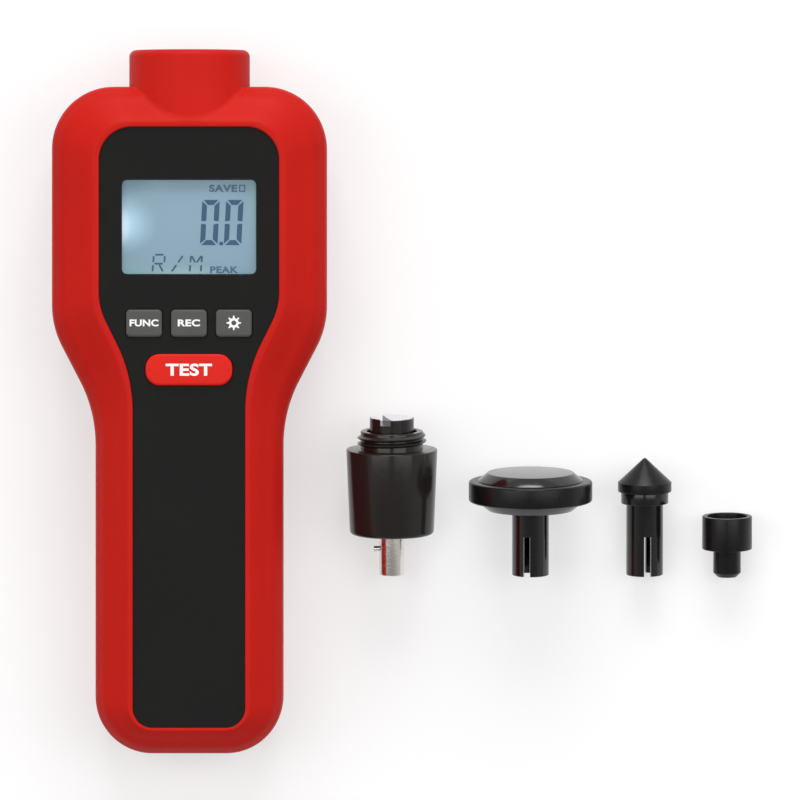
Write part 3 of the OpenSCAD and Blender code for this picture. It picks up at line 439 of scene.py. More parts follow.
def corner(before, at, after, r, n):
    """Arc of a rounded corner: points with the outline's outward normal."""
    before, at, after = Vector(before), Vector(at), Vector(after)
    a, b = (before - at).normalized(), (after - at).normalized()
    half = math.acos(max(-1, min(1, a.dot(b)))) / 2
    centre = at + (a + b).normalized() * (r / math.sin(half))
    first = at + a * (r / math.tan(half)) - centre
    d0, d1 = at - before, after - at
    turn = 1 if d0.x * d1.y - d0.y * d1.x > 0 else -1
    start = math.atan2(first.y, first.x)
    sweep = turn * (math.pi - 2 * half)
    out = []
    for k in range(n):
        angle = start + sweep * k / (n - 1)
        x, y = math.cos(angle), math.sin(angle)
        out.append((centre.x + r * x, centre.y + r * y, turn * x, turn * y))
    return out


CASE_SIDE = (
    (HANDLE_W / 2, -BODY_LEN / 2), (HANDLE_W / 2, WAIST_Y),
    (HEAD_W / 2, SHOULDER_Y), (HEAD_W / 2, BODY_LEN / 2),
)
# Points of the corners, and steps along the handle's side, the waist, the head's side, the top and the foot
ARCS = (22, 16, 16, 22)
STRAIGHTS = (24, 3, 16, 64, 12)


def case_outlines():
    """Outlines of the case and the panel, with matching points."""
    handle_n, waist_n, head_n, top_n, foot_n = STRAIGHTS
    steps = (handle_n, waist_n, head_n, top_n, head_n, waist_n, handle_n, foot_n)
    arcs = ARCS + ARCS[::-1]
    n = len(steps)
    made = []
    for side, radii in ((CASE_SIDE, CASE_RADII), (PANEL_SIDE, PANEL_RADII)):
        corners = side + tuple((-x, y) for x, y in reversed(side))
        r = radii + radii[::-1]
        rounds = [
            corner(corners[k - 1], corners[k], corners[(k + 1) % n], r[k], arcs[k]) for k in range(n)
        ]
        out = []
        for k in range(n):
            out += rounds[k]
            a, b = rounds[k][-1], rounds[(k + 1) % n][0]
            for j in range(1, steps[k]):
                s = j / steps[k]
                out.append((a[0] + s * (b[0] - a[0]), a[1] + s * (b[1] - a[1]), a[2], a[3]))
        made.append(out)
    return made


CASE_OUTLINE, PANEL_OUTLINE = case_outlines()


def ring(share, inset, z):
    """The case's outline drawn in by inset, then a share of the way to the panel's outline, at height z."""
    out = []
    for o, i in zip(CASE_OUTLINE, PANEL_OUTLINE):
        x, y = o[0] - inset * o[2], o[1] - inset * o[3]
        out.append((x + share * (i[0] - x), y + share * (i[1] - y), z))
    return out


def smooth_path(points, steps):
    """Catmull-Rom curve through the points, which keeps both ends."""
    out = []
    ends = [points[0]] + list(points) + [points[-1]]
    for k in range(1, len(ends) - 2):
        p0, p1, p2, p3 = ends[k - 1:k + 3]
        for j in range(steps):
            t = j / steps
            out.append(tuple(
                0.5 * (2 * b + (c - a) * t + (2 * a - 5 * b + 4 * c - d) * t * t
                       + (3 * b - a - 3 * c + d) * t ** 3)
                for a, b, c, d in zip(p0, p1, p2, p3)
            ))
    out.append(tuple(points[-1]))
    return out


def hoop(rings):
    """Points and faces of a closed hoop whose section runs through all the rings, back to the first."""
    n, m = len(rings[0]), len(rings)
    points = [p for r in rings for p in r]
    faces = []
    for j in range(m):
        for k in range(n):
            a, b = j * n + k, j * n + (k + 1) % n
            c, d = (j + 1) % m * n + (k + 1) % n, (j + 1) % m * n + k
            faces.append((a, b, c, d))
    return points, faces


def capped(rings):
    """Points and faces of a solid through the rings, from the lowest up, with flat ends."""
    n, m = len(rings[0]), len(rings)
    points = [p for r in rings for p in r]
    faces = [tuple(reversed(range(n)))]
    for j in range(m - 1):
        for k in range(n):
            a, b = j * n + k, j * n + (k + 1) % n
            faces.append((a, b, b + n, a + n))
    faces.append(tuple((m - 1) * n + k for k in range(n)))
    return points, faces


def turned(profile, n, start=0.0, sweep=2 * math.pi):
    """Points and faces of a closed profile (r, h) turned about Z. Points on the axis are shared."""
    full = sweep > 2 * math.pi - 1e-6
    steps = n if full else n + 1
    points, index = [], []
    for r, h in profile:
        if r < 1e-6:
            index.append([len(points)] * steps)
            points.append((0, 0, h))
            continue
        row = []
        for k in range(steps):
            angle = start + sweep * k / n
            row.append(len(points))
            points.append((r * math.cos(angle), r * math.sin(angle), h))
        index.append(row)
    faces = []
    m = len(profile)
    for j in range(m):
        one, two = index[j], index[(j + 1) % m]
        for k in range(n):
            a, b = one[k], one[(k + 1) % steps]
            c, d = two[(k + 1) % steps], two[k]
            face = []
            for v in (a, b, c, d):
                if v not in face:
                    face.append(v)
            if len(face) > 2:
                faces.append(tuple(face))
    if not full:
        faces.append(tuple(reversed([row[0] for row in index])))
        faces.append(tuple(row[-1] for row in index))
    return points, faces


def filleted(path, n=6):
    """Profile through (r, h, radius) corners of a closed path, each rounded by its radius."""
    out = []
    for k, (x, y, radius) in enumerate(path):
        before, after = path[k - 1], path[(k + 1) % len(path)]
        if radius <= 0:
            out.append((x, y))
            continue
        out += [(p[0], p[1]) for p in corner(before[:2], (x, y), after[:2], radius, n)]
    return out


def pad_ring(w, h, r, z):
    """Ring of a rounded rectangle."""
    n = 12
    corners = ((w / 2, -h / 2), (w / 2, h / 2), (-w / 2, h / 2), (-w / 2, -h / 2))
    out = []
    for k in range(4):
        out += [(p[0], p[1], z) for p in corner(corners[k - 1], corners[k], corners[(k + 1) % 4], r, n)]
    return out


def moved(points, dx, dy):
    """The points, shifted in x and y."""
    return [(x + dx, y + dy, z) for x, y, z in points]


def block(x0, x1, y0, y1, z0, z1):
    """Points and faces of a box."""
    points = [(x, y, z) for z in (z0, z1) for x, y in ((x0, y0), (x1, y0), (x1, y1), (x0, y1))]
    faces = [(3, 2, 1, 0), (4, 5, 6, 7), (0, 1, 5, 4), (1, 2, 6, 5), (2, 3, 7, 6), (3, 0, 4, 7)]
    return points, faces


# Jackets and nose


def over_nose(points):
    """Raises the border's slope over the nose's crown, with a small fillet where the two meet."""
    blend, run = 1.3, 1.6
    out = []
    for x, y, z in points:
        if abs(x) < NOSE_R - 0.05 and y > NOSE_ROOT - 1:
            crown = SEAM_Z + math.sqrt(NOSE_R ** 2 - x * x) - 0.06
            h = max(blend - abs(z - crown), 0)
            fade = max(0, min(1, (y - NOSE_ROOT + run / 2) / run))
            raised = max(z, crown) + h * h / (4 * blend)
            z = z + fade * (raised - z)
        out.append((x, y, z))
    return out


def half_sleeve(above):
    """Soft sleeve of the nose, the half above or below the seam."""
    profile = filleted([
        (TUBE_R, NOSE_ROOT + 0.4, 0), (NOSE_R, NOSE_ROOT + 0.4, 0), (NOSE_R, NOSE_END, NOSE_EDGE),
        (SOCKET_R + 0.05, NOSE_END, 0.35), (SOCKET_R + 0.05, NOSE_END - NOSE_EDGE, 0),
        (TUBE_R, NOSE_END - NOSE_EDGE, 0),
    ], 8)
    gap = 0.004
    start = (math.pi if above else 0) + gap
    points, faces = turned(profile, 72, start, math.pi - 2 * gap)
    return shape("tool", points, faces, ALONG_NOSE)


def bore_tool():
    """Cylinder that clears the nose's tube out of a jacket."""
    profile = [(0, NOSE_ROOT - 6), (TUBE_R + 0.02, NOSE_ROOT - 6), (TUBE_R + 0.02, NOSE_END - NOSE_EDGE),
               (0, NOSE_END - NOSE_EDGE)]
    points, faces = turned(profile, 72)
    return shape("tool", points, faces, ALONG_NOSE)


def front_jacket_skin():
    """Red jacket of the front half: seam groove, sloping border, lip round the panel and half the nose."""
    step = CASE_T - JACKET_T
    groove = [(0, 0.32, SEAM_Z + 0.02), (0, 0.04, SEAM_Z + 0.3), (0, 0, SEAM_Z + 0.7)]
    slope = [(s, 0, CASE_T - BORDER_DEPTH * d) for s, d in smooth_path(FRONT_BORDER_SHARES, 4)]
    lip = [(0.985, 0, CASE_T - 0.04), (0.998, 0, CASE_T - 0.2), (1, 0, CASE_T - 0.42), (1, 0, PANEL_Z - 0.02)]
    outer = [over_nose(ring(*s)) for s in groove + [(0, 0, 24.4)] + slope + lip]
    under = [ring(1, 0.02, step)]
    for s, d in reversed(FRONT_BORDER_SHARES[:-2]):
        under.append(ring(s, JACKET_T - 0.02, CASE_T - BORDER_DEPTH * d - JACKET_T * math.sqrt(s) + 0.02))
    under.append(ring(0, JACKET_T - 0.02, SEAM_Z + 0.02))
    obj = shape("front_jacket_skin", *hoop(outer + under))
    combine(obj, bore_tool(), "DIFFERENCE")
    combine(obj, half_sleeve(True), "UNION")
    dress(obj, jacket_red, ROOT, ("front_jacket",))


def rear_jacket_skin():
    """Red jacket of the rear half, with the opening for the battery cover and its rails."""
    slope = [(s, 0, BACK_DEPTH * z) for s, z in smooth_path(BACK_BORDER_SHARES, 4)]
    groove = [(0, 0, 15.0), (0, 0, SEAM_Z - 0.7), (0, 0.04, SEAM_Z - 0.3), (0, 0.32, SEAM_Z - 0.02)]
    outer = [ring(BACK_SHARE - 0.004, 0, 0.12), ring(BACK_SHARE - 0.02, 0, 0)]
    outer += [ring(*s) for s in slope + groove]
    under = [ring(0, JACKET_T - 0.02, SEAM_Z - 0.02)]
    for s, z in reversed(BACK_BORDER_SHARES[1:]):
        under.append(ring(s, JACKET_T - 0.02, BACK_DEPTH * z + JACKET_T * math.sqrt(s / BACK_SHARE) - 0.02))
    under.append(ring(BACK_SHARE - 0.004, 0, JACKET_T - 0.02))
    obj = shape("rear_jacket_skin", *hoop(outer + under))
    combine(obj, bore_tool(), "DIFFERENCE")
    combine(obj, half_sleeve(False), "UNION")
    low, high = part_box("battery_cover")
    rail, play, rail_z, ceiling, stop_y = 0.9, 0.2, 1.1, 2.5, -40
    w = (high[0] - low[0]) / 2 / MM - rail + play
    reach = BODY_LEN / 2 + 1
    for half, z in ((w, -1), (w + rail, rail_z)):
        cut(obj, (-half, half, -reach, stop_y, z, ceiling))
    dress(obj, jacket_red, ROOT, ("rear_jacket",))


front_jacket_skin()
rear_jacket_skin()


# Keys, with printed labels


def key_cap(body, w, h, r, top, x, y, material):
    """Rounded key with a soft shoulder, its flange and its post."""
    name = body + "_cap"
    edge, crown, steps = 0.75, 0.035, 7
    rings = [pad_ring(w, h, r, PANEL_UNDER - 0.4)]
    for k in range(steps + 1):
        angle = math.pi / 2 * k / steps
        draw = edge * (1 - math.cos(angle))
        level = top - edge * 0.62 * (1 - math.sin(angle))
        rings.append(pad_ring(w - 2 * draw, h - 2 * draw, r - draw * 0.35, level))
    middle = min(max(r - edge, 0.3), h / 2 - 2.2 * edge - 0.05)
    rings.append(pad_ring(w - 4.4 * edge, h - 4.4 * edge, middle, top + crown))
    points, faces = capped([moved(rg, x, y) for rg in rings])
    piece(name, points, faces, material, body, (body,), sharp=50)
    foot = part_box(body)[0][2] / MM
    flange_top, flange_rim = PANEL_UNDER - 0.2, 0.8
    flange_foot = flange_top - 1.2
    flange_ring = (w + 2 * flange_rim, h + 2 * flange_rim, r + flange_rim)
    flange = capped([moved(pad_ring(*flange_ring, z), x, y) for z in (flange_foot, flange_top)])
    piece(name + "_flange", *flange, material, body, (body,))
    post_h, post_r = 5, 2.45
    post_w = post_h if w < 12 else 12
    post = capped([moved(pad_ring(post_w, post_h, post_r, z), x, y) for z in (foot, flange_foot)])
    piece(name + "_post", *post, black_rubber, body, (body,))


def lettering(name, text, height, x, y, z, material, body, weight, spread, width, thick=0.03):
    """Letters from the built-in font as a thin raised print of the given size, centred on x, y."""
    curve = bpy.data.curves.new(name + "_text", "FONT")
    curve.body = text
    curve.align_x = "CENTER"
    curve.size = 1
    curve.space_character = spread
    curve.offset = weight
    curve.extrude = 0.001
    curve.resolution_u = 6
    source = bpy.data.objects.new(name + "_text", curve)
    scene.collection.objects.link(source)
    graph = bpy.context.evaluated_depsgraph_get()
    mesh = bpy.data.meshes.new_from_object(source.evaluated_get(graph))
    bpy.data.objects.remove(source)
    xs = [v.co.x for v in mesh.vertices]
    ys = [v.co.y for v in mesh.vertices]
    scale = height / (max(ys) - min(ys))
    wide = width / scale / (max(xs) - min(xs))
    mid_x, mid_y = (max(xs) + min(xs)) / 2, (max(ys) + min(ys)) / 2
    for v in mesh.vertices:
        v.co = (
            (x + (v.co.x - mid_x) * scale * wide) * MM,
            (y + (v.co.y - mid_y) * scale) * MM,
            (z + (thick if v.co.z > 0 else 0)) * MM,
        )
    obj = bpy.data.objects.new(name, mesh)
    scene.collection.objects.link(obj)
    dress(obj, material, body)


def prism(points_2d, z0, z1):
    """Points and faces of a flat outline raised from z0 to z1."""
    n = len(points_2d)
    points = [(x, y, z0) for x, y in points_2d] + [(x, y, z1) for x, y in points_2d]
    faces = [tuple(reversed(range(n))), tuple(range(n, 2 * n))]
    faces += [(k, (k + 1) % n, n + (k + 1) % n, n + k) for k in range(n)]
    return points, faces


def merged(parts):
    """Points and faces of several solids as one."""
    points, faces = [], []
    for p, f in parts:
        base = len(points)
        points += list(p)
        faces += [tuple(v + base for v in face) for face in f]
    return points, faces


def sun_mark(x, y, z):
    """Sun pictogram for the lamp key: a ring with eight rays."""
    inner, outer, ray_in, ray_out = 0.63, 1.25, 1.2, 1.86
    half_in, half_out, top = 0.27, 0.15, z + 0.03
    points, faces = turned([(inner, z), (outer, z), (outer, top), (inner, top)], 40)
    parts = [(moved(points, x, y), faces)]
    for k in range(8):
        a = math.pi / 4 * k
        u, v = (math.cos(a), math.sin(a)), (-math.sin(a), math.cos(a))
        quad = [
            (x + u[0] * r + v[0] * s, y + u[1] * r + v[1] * s)
            for r, s in ((ray_in, -half_in), (ray_out, -half_out), (ray_out, half_out), (ray_in, half_in))
        ]
        parts.append(prism(quad, z, top))
    piece("light_key_mark", *merged(parts), label_white, "light_key")


for place, body in ((-1, "mode_key"), (0, "memory_key"), (1, "light_key")):
    key_cap(body, KEY_W, KEY_H, KEY_R, KEY_TOP, place * KEY_PITCH, KEY_Y, key_grey)
key_cap("measure_key", MEASURE_W, MEASURE_H, MEASURE_R, MEASURE_TOP, 0, MEASURE_Y, key_red)
label_y, label_z = KEY_Y + 0.1, KEY_TOP + 0.02
lettering("mode_key_label", "FUNC", 1.8, -KEY_PITCH, label_y, label_z, label_white, "mode_key",
          0.034, 1.05, 7.4)
lettering("memory_key_label", "REC", 1.8, 0, label_y, label_z, label_white, "memory_key", 0.034, 1.05, 5.7)
sun_mark(KEY_PITCH, label_y, label_z)
lettering("measure_key_label", "TEST", 3.15, 0, MEASURE_Y, MEASURE_TOP + 0.02, label_white, "measure_key",
          0.03, 1.04, 11.9)


# Display


def display():
    """The lit cell, up to the panel's underside, and the window over it with a chamfered edge."""
    low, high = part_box("lcd_glass")
    w, h = (high[0] - low[0]) / MM, (high[1] - low[1]) / MM
    rings = [moved(pad_ring(w, h, 0.3, level), 0, WINDOW_Y) for level in (low[2] / MM, PANEL_UNDER)]
    piece("lcd_cell", *capped(rings), display_ground, ROOT, ("lcd_glass",))
    top, chamfer = PANEL_Z + 0.1, 0.06
    rings = [pad_ring(WINDOW_W - 2 * draw, WINDOW_H - 2 * draw, WINDOW_R, level)
             for draw, level in ((0, top - WINDOW_T), (0, top - chamfer), (chamfer, top))]
    points, faces = capped([moved(rg, 0, WINDOW_Y) for rg in rings])
    piece("window_plate", points, faces, clear_window, ROOT, ("display_window",))


SLANT = 0.052  # sideways lean of the digits per unit of height


def segment_digit(x, y, w, h, t, gap):
    """Outlines of a seven-segment zero whose lower left corner is x, y."""
    def lean(points):
        return [(px + (py - y) * SLANT, py) for px, py in points]

    mid = y + h / 2
    bars = []
    for sign, edge in ((1, y + h), (-1, y)):
        inner = edge - sign * t
        bars.append([
            (x + gap + 0.15, edge), (x + w - gap - 0.15, edge),
            (x + w - t - gap, inner), (x + t + gap, inner),
        ])
    for left in (True, False):
        side = x if left else x + w
        inward = 1 if left else -1
        for up in (True, False):
            far = y + h if up else y
            d = -1 if up else 1
            bars.append([
                (side, far + d * (gap + 0.1)), (side + inward * t, far + d * (t + gap)),
                (side + inward * t, mid - d * (gap + 0.3)), (side + inward * t * 0.5, mid - d * 0.32),
                (side, mid - d * (gap + 0.15)),
            ])
    return [lean(b) for b in bars]


def oriented(points_2d):
    """The outline, turned round if it runs clockwise."""
    area = sum(a[0] * b[1] - b[0] * a[1] for a, b in zip(points_2d, points_2d[1:] + points_2d[:1]))
    return points_2d if area > 0 else list(reversed(points_2d))


def stroke(a, b, t):
    """Thin bar with pointed ends from a to b."""
    ax, ay = a
    bx, by = b
    length = math.hypot(bx - ax, by - ay)
    ux, uy = (bx - ax) / length, (by - ay) / length
    vx, vy = -uy, ux
    g = t * 0.55
    ax, ay, bx, by = ax + ux * g, ay + uy * g, bx - ux * g, by - uy * g
    return [
        (ax, ay), (ax + ux * t / 2 - vx * t / 2, ay + uy * t / 2 - vy * t / 2),
        (bx - ux * t / 2 - vx * t / 2, by - uy * t / 2 - vy * t / 2), (bx, by),
        (bx - ux * t / 2 + vx * t / 2, by - uy * t / 2 + vy * t / 2),
        (ax + ux * t / 2 + vx * t / 2, ay + uy * t / 2 + vy * t / 2),
    ]


# Strokes of starburst characters on a grid one wide and two high
STARBURST = {
    "R": [((0, 0), (0, 1)), ((0, 1), (0, 2)), ((0, 2), (1, 2)), ((1, 2), (1, 1)),
          ((0, 1), (1, 1)), ((0.5, 1), (1, 0))],
    "/": [((0, 0), (0.5, 1)), ((0.5, 1), (1, 2))],
    "M": [((0, 0), (0, 1)), ((0, 1), (0, 2)), ((0, 2), (0.5, 1)), ((0.5, 1), (1, 2)),
          ((1, 2), (1, 1)), ((1, 1), (1, 0))],
}


def display_marks():
    """Digits, unit and small words of the display, as thin raised prints."""
    z0, z1 = PANEL_UNDER + 0.01, PANEL_UNDER + 0.05
    parts = []
    foot, wide, tall, thick, gap = 44.85, 4.5, 11.6, 1.3, 0.22
    for x in (2.8, 8.9):
        for bar in segment_digit(x, foot, wide, tall, thick, gap):
            parts.append(prism(oriented(bar), z0, z1))
    dot_x, dot_y, dot_r, dot_n = 8.25, foot + 0.4, 0.52, 16
    around = [2 * math.pi * k / dot_n for k in range(dot_n)]
    dot = [(dot_x + dot_r * math.cos(a), dot_y + dot_r * math.sin(a)) for a in around]
    parts.append(prism(dot, z0, z1))
    piece("display_digits", *merged(parts), display_ink)
    parts = []
    left, foot, wide, tall, pitch, thick, lean = -9.4, 37.8, 2.85, 2.3, 4.77, 0.48, 1.6
    for k, letter in enumerate("R/M"):
        for bar in STARBURST[letter]:
            ends = [(left + k * pitch + px * wide + py * tall * SLANT * lean, foot + py * tall)
                    for px, py in bar]
            parts.append(prism(oriented(stroke(*ends, thick)), z0, z1))
    piece("display_unit", *merged(parts), display_ink_thin)
    lettering("display_store_mark", "SAVE", 1.95, 8.75, 59.42, z0, display_ink_dark, ROOT,
              0.045, 1.1, 7.2, 0.04)
    parts = []
    x0, x1, y0, y1, t = 12.85, 14.4, 58.5, 60.35, 0.3
    for side in ((x0, x1, y0, y0 + t), (x0, x1, y1 - t, y1), (x0, x0 + t, y0, y1), (x1 - t, x1, y0, y1)):
        parts.append(block(*side, z0, z1))
    piece("display_store_box", *merged(parts), display_ink_dark)
    lettering("display_peak_mark", "PEAK", 1.75, 9.03, 38.55, z0, display_ink_dark, ROOT,
              0.045, 1.1, 7.26, 0.04)


display()
display_marks()


# Accessories


def turn(name, path, material, place, body=ROOT, replaces=(), n=112):
    """A piece turned about its axis from (r, h, radius) corners."""
    points, faces = turned(filleted(path), n)
    return piece(name, points, faces, material, body, replaces, place)


def screw_thread(name, core_r, crest_r, low, high, pitch, material, place, inward=False):
    """Helical ridge on a core, faded in and out at its ends."""
    steps = 64
    total = int((high - low) / pitch * steps)
    root_w, crest_w, run_out = pitch * 0.86, pitch * 0.16, steps * 0.3
    sink = 0.15 if inward else -0.15
    points = []
    for k in range(total + 1):
        angle = 2 * math.pi * k / steps
        h = low + pitch * k / steps
        fade = max(min(1, k / run_out, (total - k) / run_out), 0.02)
        tip = core_r + (crest_r - core_r) * fade
        section = (
            (core_r + sink, -root_w / 2), (core_r, -root_w / 2), (tip, -crest_w / 2), (tip, crest_w / 2),
            (core_r, root_w / 2), (core_r + sink, root_w / 2),
        )
        for r, dh in section:
            points.append((r * math.cos(angle), r * math.sin(angle), h + dh))
    m = len(section)
    faces = []
    for k in range(total):
        for s in range(m):
            a, b = k * m + s, k * m + (s + 1) % m
            quad = (a, b, b + m, a + m)
            faces.append(quad if inward else tuple(reversed(quad)))
    start, end = tuple(range(m)), tuple(total * m + s for s in reversed(range(m)))
    faces += [tuple(reversed(start)), tuple(reversed(end))] if inward else [start, end]
    piece(name, points, faces, material, ROOT, (), place, 28)


def adapter():
    """Contact adapter: housing with its thread, and the spindle with its cross pin."""
    place = laid(ADAPTER_X, ADAPTER_Z)
    low, top, end, core = 10.7, 32.75, 37.5, 8.05
    turn("adapter_body", [
        (4.0, low, 0.15), (10.83, low, 1.0), (11.75, top, 0.3), (core, top, 0.12), (core, end, 0.3),
        (6.5, end, 0.25), (6.5, 12.15, 0), (4.0, 12.15, 0),
    ], anodised, place, ROOT, ("adapter_housing",), 144)
    screw_thread("adapter_thread_ridge", core, 8.9, top + 0.75, end - 0.72, 1.48, anodised, place)
    turn("spindle_shaft", [
        (0, 0, 0), (3.25, 0, 0.35), (3.25, 12.2, 0), (3.0, 12.2, 0), (3.0, 36.85, 0), (0, 36.85, 0),
    ], ground_steel, place, "spindle", ("adapter_spindle",), 112)
    pin = Matrix.Translation((0, 0, 6.8)) @ Matrix.Rotation(-math.pi / 2, 4, "Y")
    turn("spindle_pin", [
        (0, -3.2, 0), (0.7, -3.2, 0), (0.7, 4.65, 0.12), (0, 4.65, 0),
    ], ground_steel, place @ pin, "spindle", ("cross_pin",), 40)


def stem_slot(obj, place, turn_degrees):
    """Slot right through a stem from its lower end."""
    width, length, reach = 1.85, 10.4, 6
    turned_place = place @ Matrix.Rotation(math.radians(turn_degrees), 4, "Z")
    cut(obj, (-width / 2, width / 2, -reach, reach, -1, length), turned_place)
    crease(obj.data)


def wheel():
    """Surface speed wheel: hub with a slotted stem, and its tyre."""
    place = laid(WHEEL_X, WHEEL_Z)
    low, high, top = 19.2, 24.5, 26.65
    hub = turn("wheel_body", [
        (3.3, 0, 0.1), (4.75, 0, 0.3), (4.75, 17.0, 0.25), (11.1, 17.0, 0.2), (13.65, low, 0.1),
        (11.5, low, 0), (11.5, high, 0), (13.65, high, 0.12), (11.1, top, 0.18), (0, top, 0),
        (0, 12, 0), (3.3, 12, 0),
    ], hub_plastic, place, ROOT, ("wheel_hub",), 144)
    stem_slot(hub, place, -12.9)
    turn("tyre", [
        (11.5, low, 0), (15.915, low, 0.6), (15.915, high, 0.6), (11.5, high, 0),
    ], black_rubber, place, ROOT, ("wheel_tyre",), 144)


def tips():
    """Slotted holder with the cone tip in it, and the loose cup tip."""
    place = laid(CONE_X, HOLDER_Z)
    holder = turn("holder_body", [
        (3.3, 0, 0.1), (4.75, 0, 0.3), (4.75, 18.65, 0.1), (6.1, 18.65, 0.25), (6.1, 21.7, 0.15),
        (3.55, 21.7, 0.1), (3.55, 14.3, 0), (0, 14.3, 0), (0, 12, 0), (3.3, 12, 0),
    ], black_plastic, place, ROOT, ("tip_holder",), 128)
    stem_slot(holder, place, 9)
    turn("cone_rubber", [
        (0, 14.46, 0), (2.45, 14.46, 0.1), (3.55, 15.56, 0.1), (3.55, 21.7, 0), (6.9, 21.7, 0.2),
        (6.9, 24.1, 0.15), (0.3, 30.35, 0.15), (0, 30.4, 0),
    ], black_rubber, place, ROOT, ("cone_tip",), 128)
    turn("cup_rubber", [
        (0, 0, 0), (2.45, 0, 0.1), (3.55, 1.1, 0.1), (3.55, 7.24, 0.15), (6.425, 7.24, 0.25),
        (6.425, 15.84, 0.25), (5.2, 15.84, 0.2), (5.2, 10.24, 0.3), (0, 10.24, 0),
    ], black_rubber, laid(CUP_X, CUP_Z, CUP_DROP), ROOT, ("cup_tip",), 128)


adapter()
wheel()
tips()


# Socket thread and case screws


def socket():
    """Threaded socket in the nose, with its ridge cut as a groove of the bore."""
    root_r = 8.95
    turn("socket_ring", [
        (9.5, SOCKET_BACK, 0), (SOCKET_R, SOCKET_BACK, 0), (SOCKET_R, SOCKET_FRONT, 0.3),
        (root_r, SOCKET_FRONT, 0.4), (root_r, SOCKET_BACK + 1.5, 0), (9.5, SOCKET_BACK + 1.5, 0),
    ], black_plastic, ALONG_NOSE, ROOT, ("nose_socket",), 112)
    screw_thread("socket_thread_ridge", root_r, SOCKET_BORE_R + 0.05, SOCKET_BACK + 2.4, SOCKET_FRONT - 1.0,
                 THREAD_PITCH, black_plastic, ALONG_NOSE, True)


def case_screws():
    """Pan-head screws at the bottom of their wells, with cross recesses."""
    seat, head_t, bite = 12.0, 1.9, 31.0
    for number, (x, y) in enumerate(((20, 70), (-20, 70), (15.1, -14), (-15.1, -14)), 1):
        place = Matrix.Translation((x, y, 0))
        screw = turn(f"case_screw_{number}", [
            (0, seat - head_t, 0), (2.1, seat - head_t, 0.6), (2.4, seat - 0.7, 0.2), (2.4, seat, 0.1),
            (1.22, seat, 0), (1.22, bite - 0.6, 0.2), (0, bite - 0.6, 0),
        ], zinc, place, ROOT, ("case_screws",), 48)
        low, recess = seat - head_t, 0.9
        for half_x, half_y in ((1.3, 0.28), (0.28, 1.3)):
            cut(screw, (-half_x, half_x, -half_y, half_y, low - 1, low + recess), place)
        crease(screw.data)


def cell_films():
    """Dark printed film round each cell, from its flat end to two thirds of its length."""
    film_t, start, end = 0.04, 0.7, 30.0
    for number, turned_round in ((1, False), (2, True), (3, False)):
        low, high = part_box(f"battery_{number}")
        r = (high[0] - low[0]) / 2 / MM
        flat_end, quarter = (high[1], math.pi / 2) if turned_round else (low[1], -math.pi / 2)
        centre = ((low[0] + high[0]) / 2 / MM, flat_end / MM, (low[2] + high[2]) / 2 / MM)
        place = Matrix.Translation(centre) @ Matrix.Rotation(quarter, 4, "X")
        turn(f"battery_film_{number}", [
            (r - film_t, start, 0), (r + film_t, start, 0), (r + film_t, end, 0), (r - film_t, end, 0),
        ], battery_dark, place)


socket()
case_screws()
cell_films()


# Solids that keep their shape and get a finish

FINISHES = {
    "front_shell": casing_black, "rear_shell": casing_black, "battery_cover": casing_black,
    "lcd_frame": white_plastic, "backlight_guide": white_plastic, "zebra_strip": black_rubber,
    "key_mat": grey_rubber, "main_board": board_green, "sensor_board": board_green,
    "board_parts": black_parts, "board_header": black_parts, "optics_block": black_parts,
    "photodiode": black_parts, "board_screws": zinc, "nose_window": red_filter,
    "laser_module": brass, "laser_lens": lens_glass, "receiver_lens": lens_glass,
    "battery_1": battery_sleeve, "battery_2": battery_sleeve, "battery_3": battery_sleeve,
    "battery_springs": nickel, "battery_contacts": nickel, "retaining_ring": nickel,
    "rotor": anodised, "rotor_reflectors": foil, "bearing_outer_rings": bearing_steel,
    "bearing_inner_rings": bearing_steel, "bearing_balls": bearing_steel, "outer_spacer": brass,
    "inner_spacer": brass,
}
for name, material in FINISHES.items():
    for slot in frame["nodes"][name].material_slots:
        slot.material = material


# Floor, light and camera


def floor():
    """Pale sheet that shows soft shadows and looks nearly white to the camera and in mirrors."""
    size, level, albedo, glow_share = 3.0, -0.05 * MM, 0.48, 0.51
    mesh = bpy.data.meshes.new("floor")
    corners = [(x, y, level) for x, y in ((-size, -size), (size, -size), (size, size), (-size, size))]
    mesh.from_pydata(corners, [], [(0, 1, 2, 3)])
    obj = bpy.data.objects.new("floor", mesh)
    scene.collection.objects.link(obj)
    material = bpy.data.materials.new("floor")
    material.use_nodes = True
    tree = material.node_tree
    out = tree.nodes["Material Output"]
    shader = tree.nodes["Principled BSDF"]
    shader.inputs["Base Color"].default_value = (albedo, albedo, albedo, 1)
    shader.inputs["Roughness"].default_value = 0.9
    shader.inputs["Specular IOR Level"].default_value = 0.0
    rays = tree.nodes.new("ShaderNodeLightPath").outputs
    seen = maths(tree, "MAXIMUM", rays["Is Camera Ray"], rays["Is Glossy Ray"])
    seen = maths(tree, "MAXIMUM", seen, rays["Is Transmission Ray"])
    glow = tree.nodes.new("ShaderNodeEmission")
    add = tree.nodes.new("ShaderNodeAddShader")
    tree.links.new(maths(tree, "MULTIPLY", seen, glow_share), glow.inputs["Strength"])
    tree.links.new(shader.outputs[0], add.inputs[0])
    tree.links.new(glow.outputs[0], add.inputs[1])
    tree.links.new(add.outputs[0], out.inputs["Surface"])
    mesh.materials.append(material)


def lamp(name, place, size_x, size_y, power):
    """Rectangular softbox that faces the middle of the layout."""
    target = (0.05, 0, 0)
    light = bpy.data.lights.new(name, "AREA")
    light.shape = "RECTANGLE"
    light.size = size_x
    light.size_y = size_y
    light.energy = power
    obj = bpy.data.objects.new(name, light)
    obj.location = place
    obj.rotation_euler = (Vector(target) - Vector(place)).to_track_quat("-Z", "Y").to_euler()
    scene.collection.objects.link(obj)


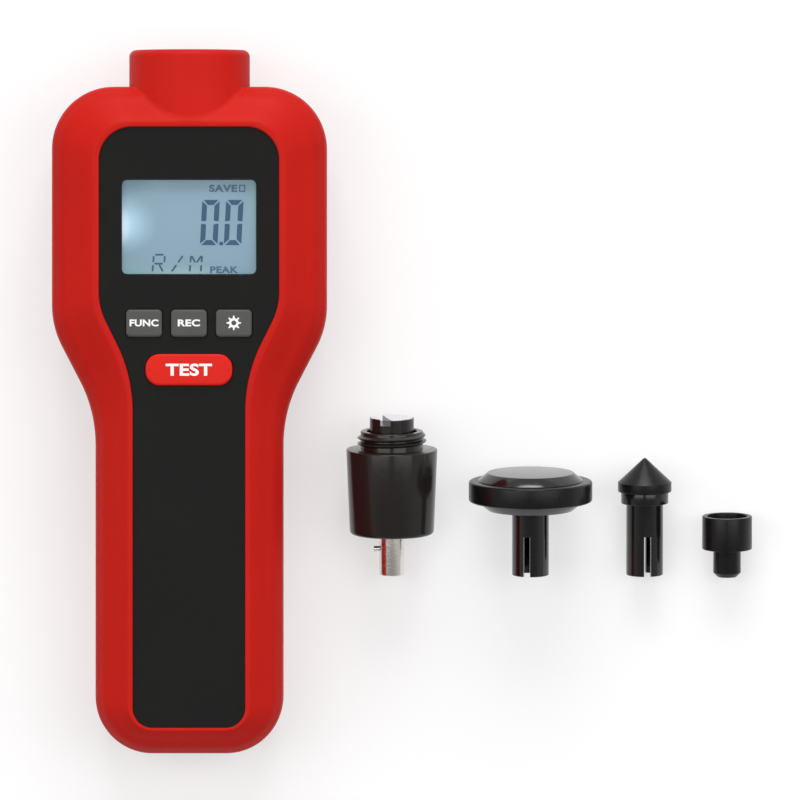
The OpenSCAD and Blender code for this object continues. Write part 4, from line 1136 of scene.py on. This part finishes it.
def world():
    """Soft room: dim overhead, paler towards the horizon and on the nose's side."""
    made = bpy.data.worlds.new("studio")
    made.use_nodes = True
    tree = made.node_tree
    ground = tree.nodes["Background"]
    ground.inputs["Color"].default_value = (1, 1, 1, 1)
    coords = tree.nodes.new("ShaderNodeTexCoord")
    split = tree.nodes.new("ShaderNodeSeparateXYZ")
    tree.links.new(coords.outputs["Generated"], split.inputs["Vector"])

    def level(source, from_min, from_max, to_min, to_max):
        """Smooth step of a direction's height or length."""
        made = tree.nodes.new("ShaderNodeMapRange")
        made.interpolation_type = "SMOOTHSTEP"
        made.inputs["From Min"].default_value = from_min
        made.inputs["From Max"].default_value = from_max
        made.inputs["To Min"].default_value = to_min
        made.inputs["To Max"].default_value = to_max
        tree.links.new(source, made.inputs["Value"])
        return made.outputs["Result"]

    overhead = level(split.outputs["Z"], 0.3, 0.9, 0.62, 0.28)
    sideways = level(split.outputs["Y"], -0.9, 0.7, 0.78, 1.15)
    room = maths(tree, "MULTIPLY", overhead, sideways)
    rays = tree.nodes.new("ShaderNodeLightPath")
    seen = tree.nodes.new("ShaderNodeMix")
    seen.data_type = "FLOAT"
    tree.links.new(rays.outputs["Is Camera Ray"], seen.inputs["Factor"])
    tree.links.new(room, seen.inputs["A"])
    seen.inputs["B"].default_value = 0.95
    tree.links.new(seen.outputs["Result"], ground.inputs["Strength"])
    scene.world = made


def camera():
    """Straight over the layout, so that a pixel of the photo spans 0.257 mm at the meter's middle height."""
    centre = Vector((54.1, 5.14, 24.0)) * MM
    distance, pixels, scale = 5.0, 800, 0.257 * MM
    data = bpy.data.cameras.new("camera")
    data.sensor_width = 36
    data.lens = data.sensor_width * distance / (pixels * scale)
    data.clip_end = 20
    obj = bpy.data.objects.new("camera", data)
    obj.location = centre + Vector((0, 0, distance))
    scene.collection.objects.link(obj)
    scene.camera = obj


floor()
world()
lamp("left_softbox", (-0.85, 0.05, 1.65), 0.9, 1.6, 10.3)
lamp("right_softbox", (0.95, 0.05, 1.65), 0.9, 1.6, 10.3)
lamp("nose_softbox", (0.05, 1.7, 0.9), 1.2, 0.7, 22)
camera()
scene.view_settings.view_transform = "Standard"
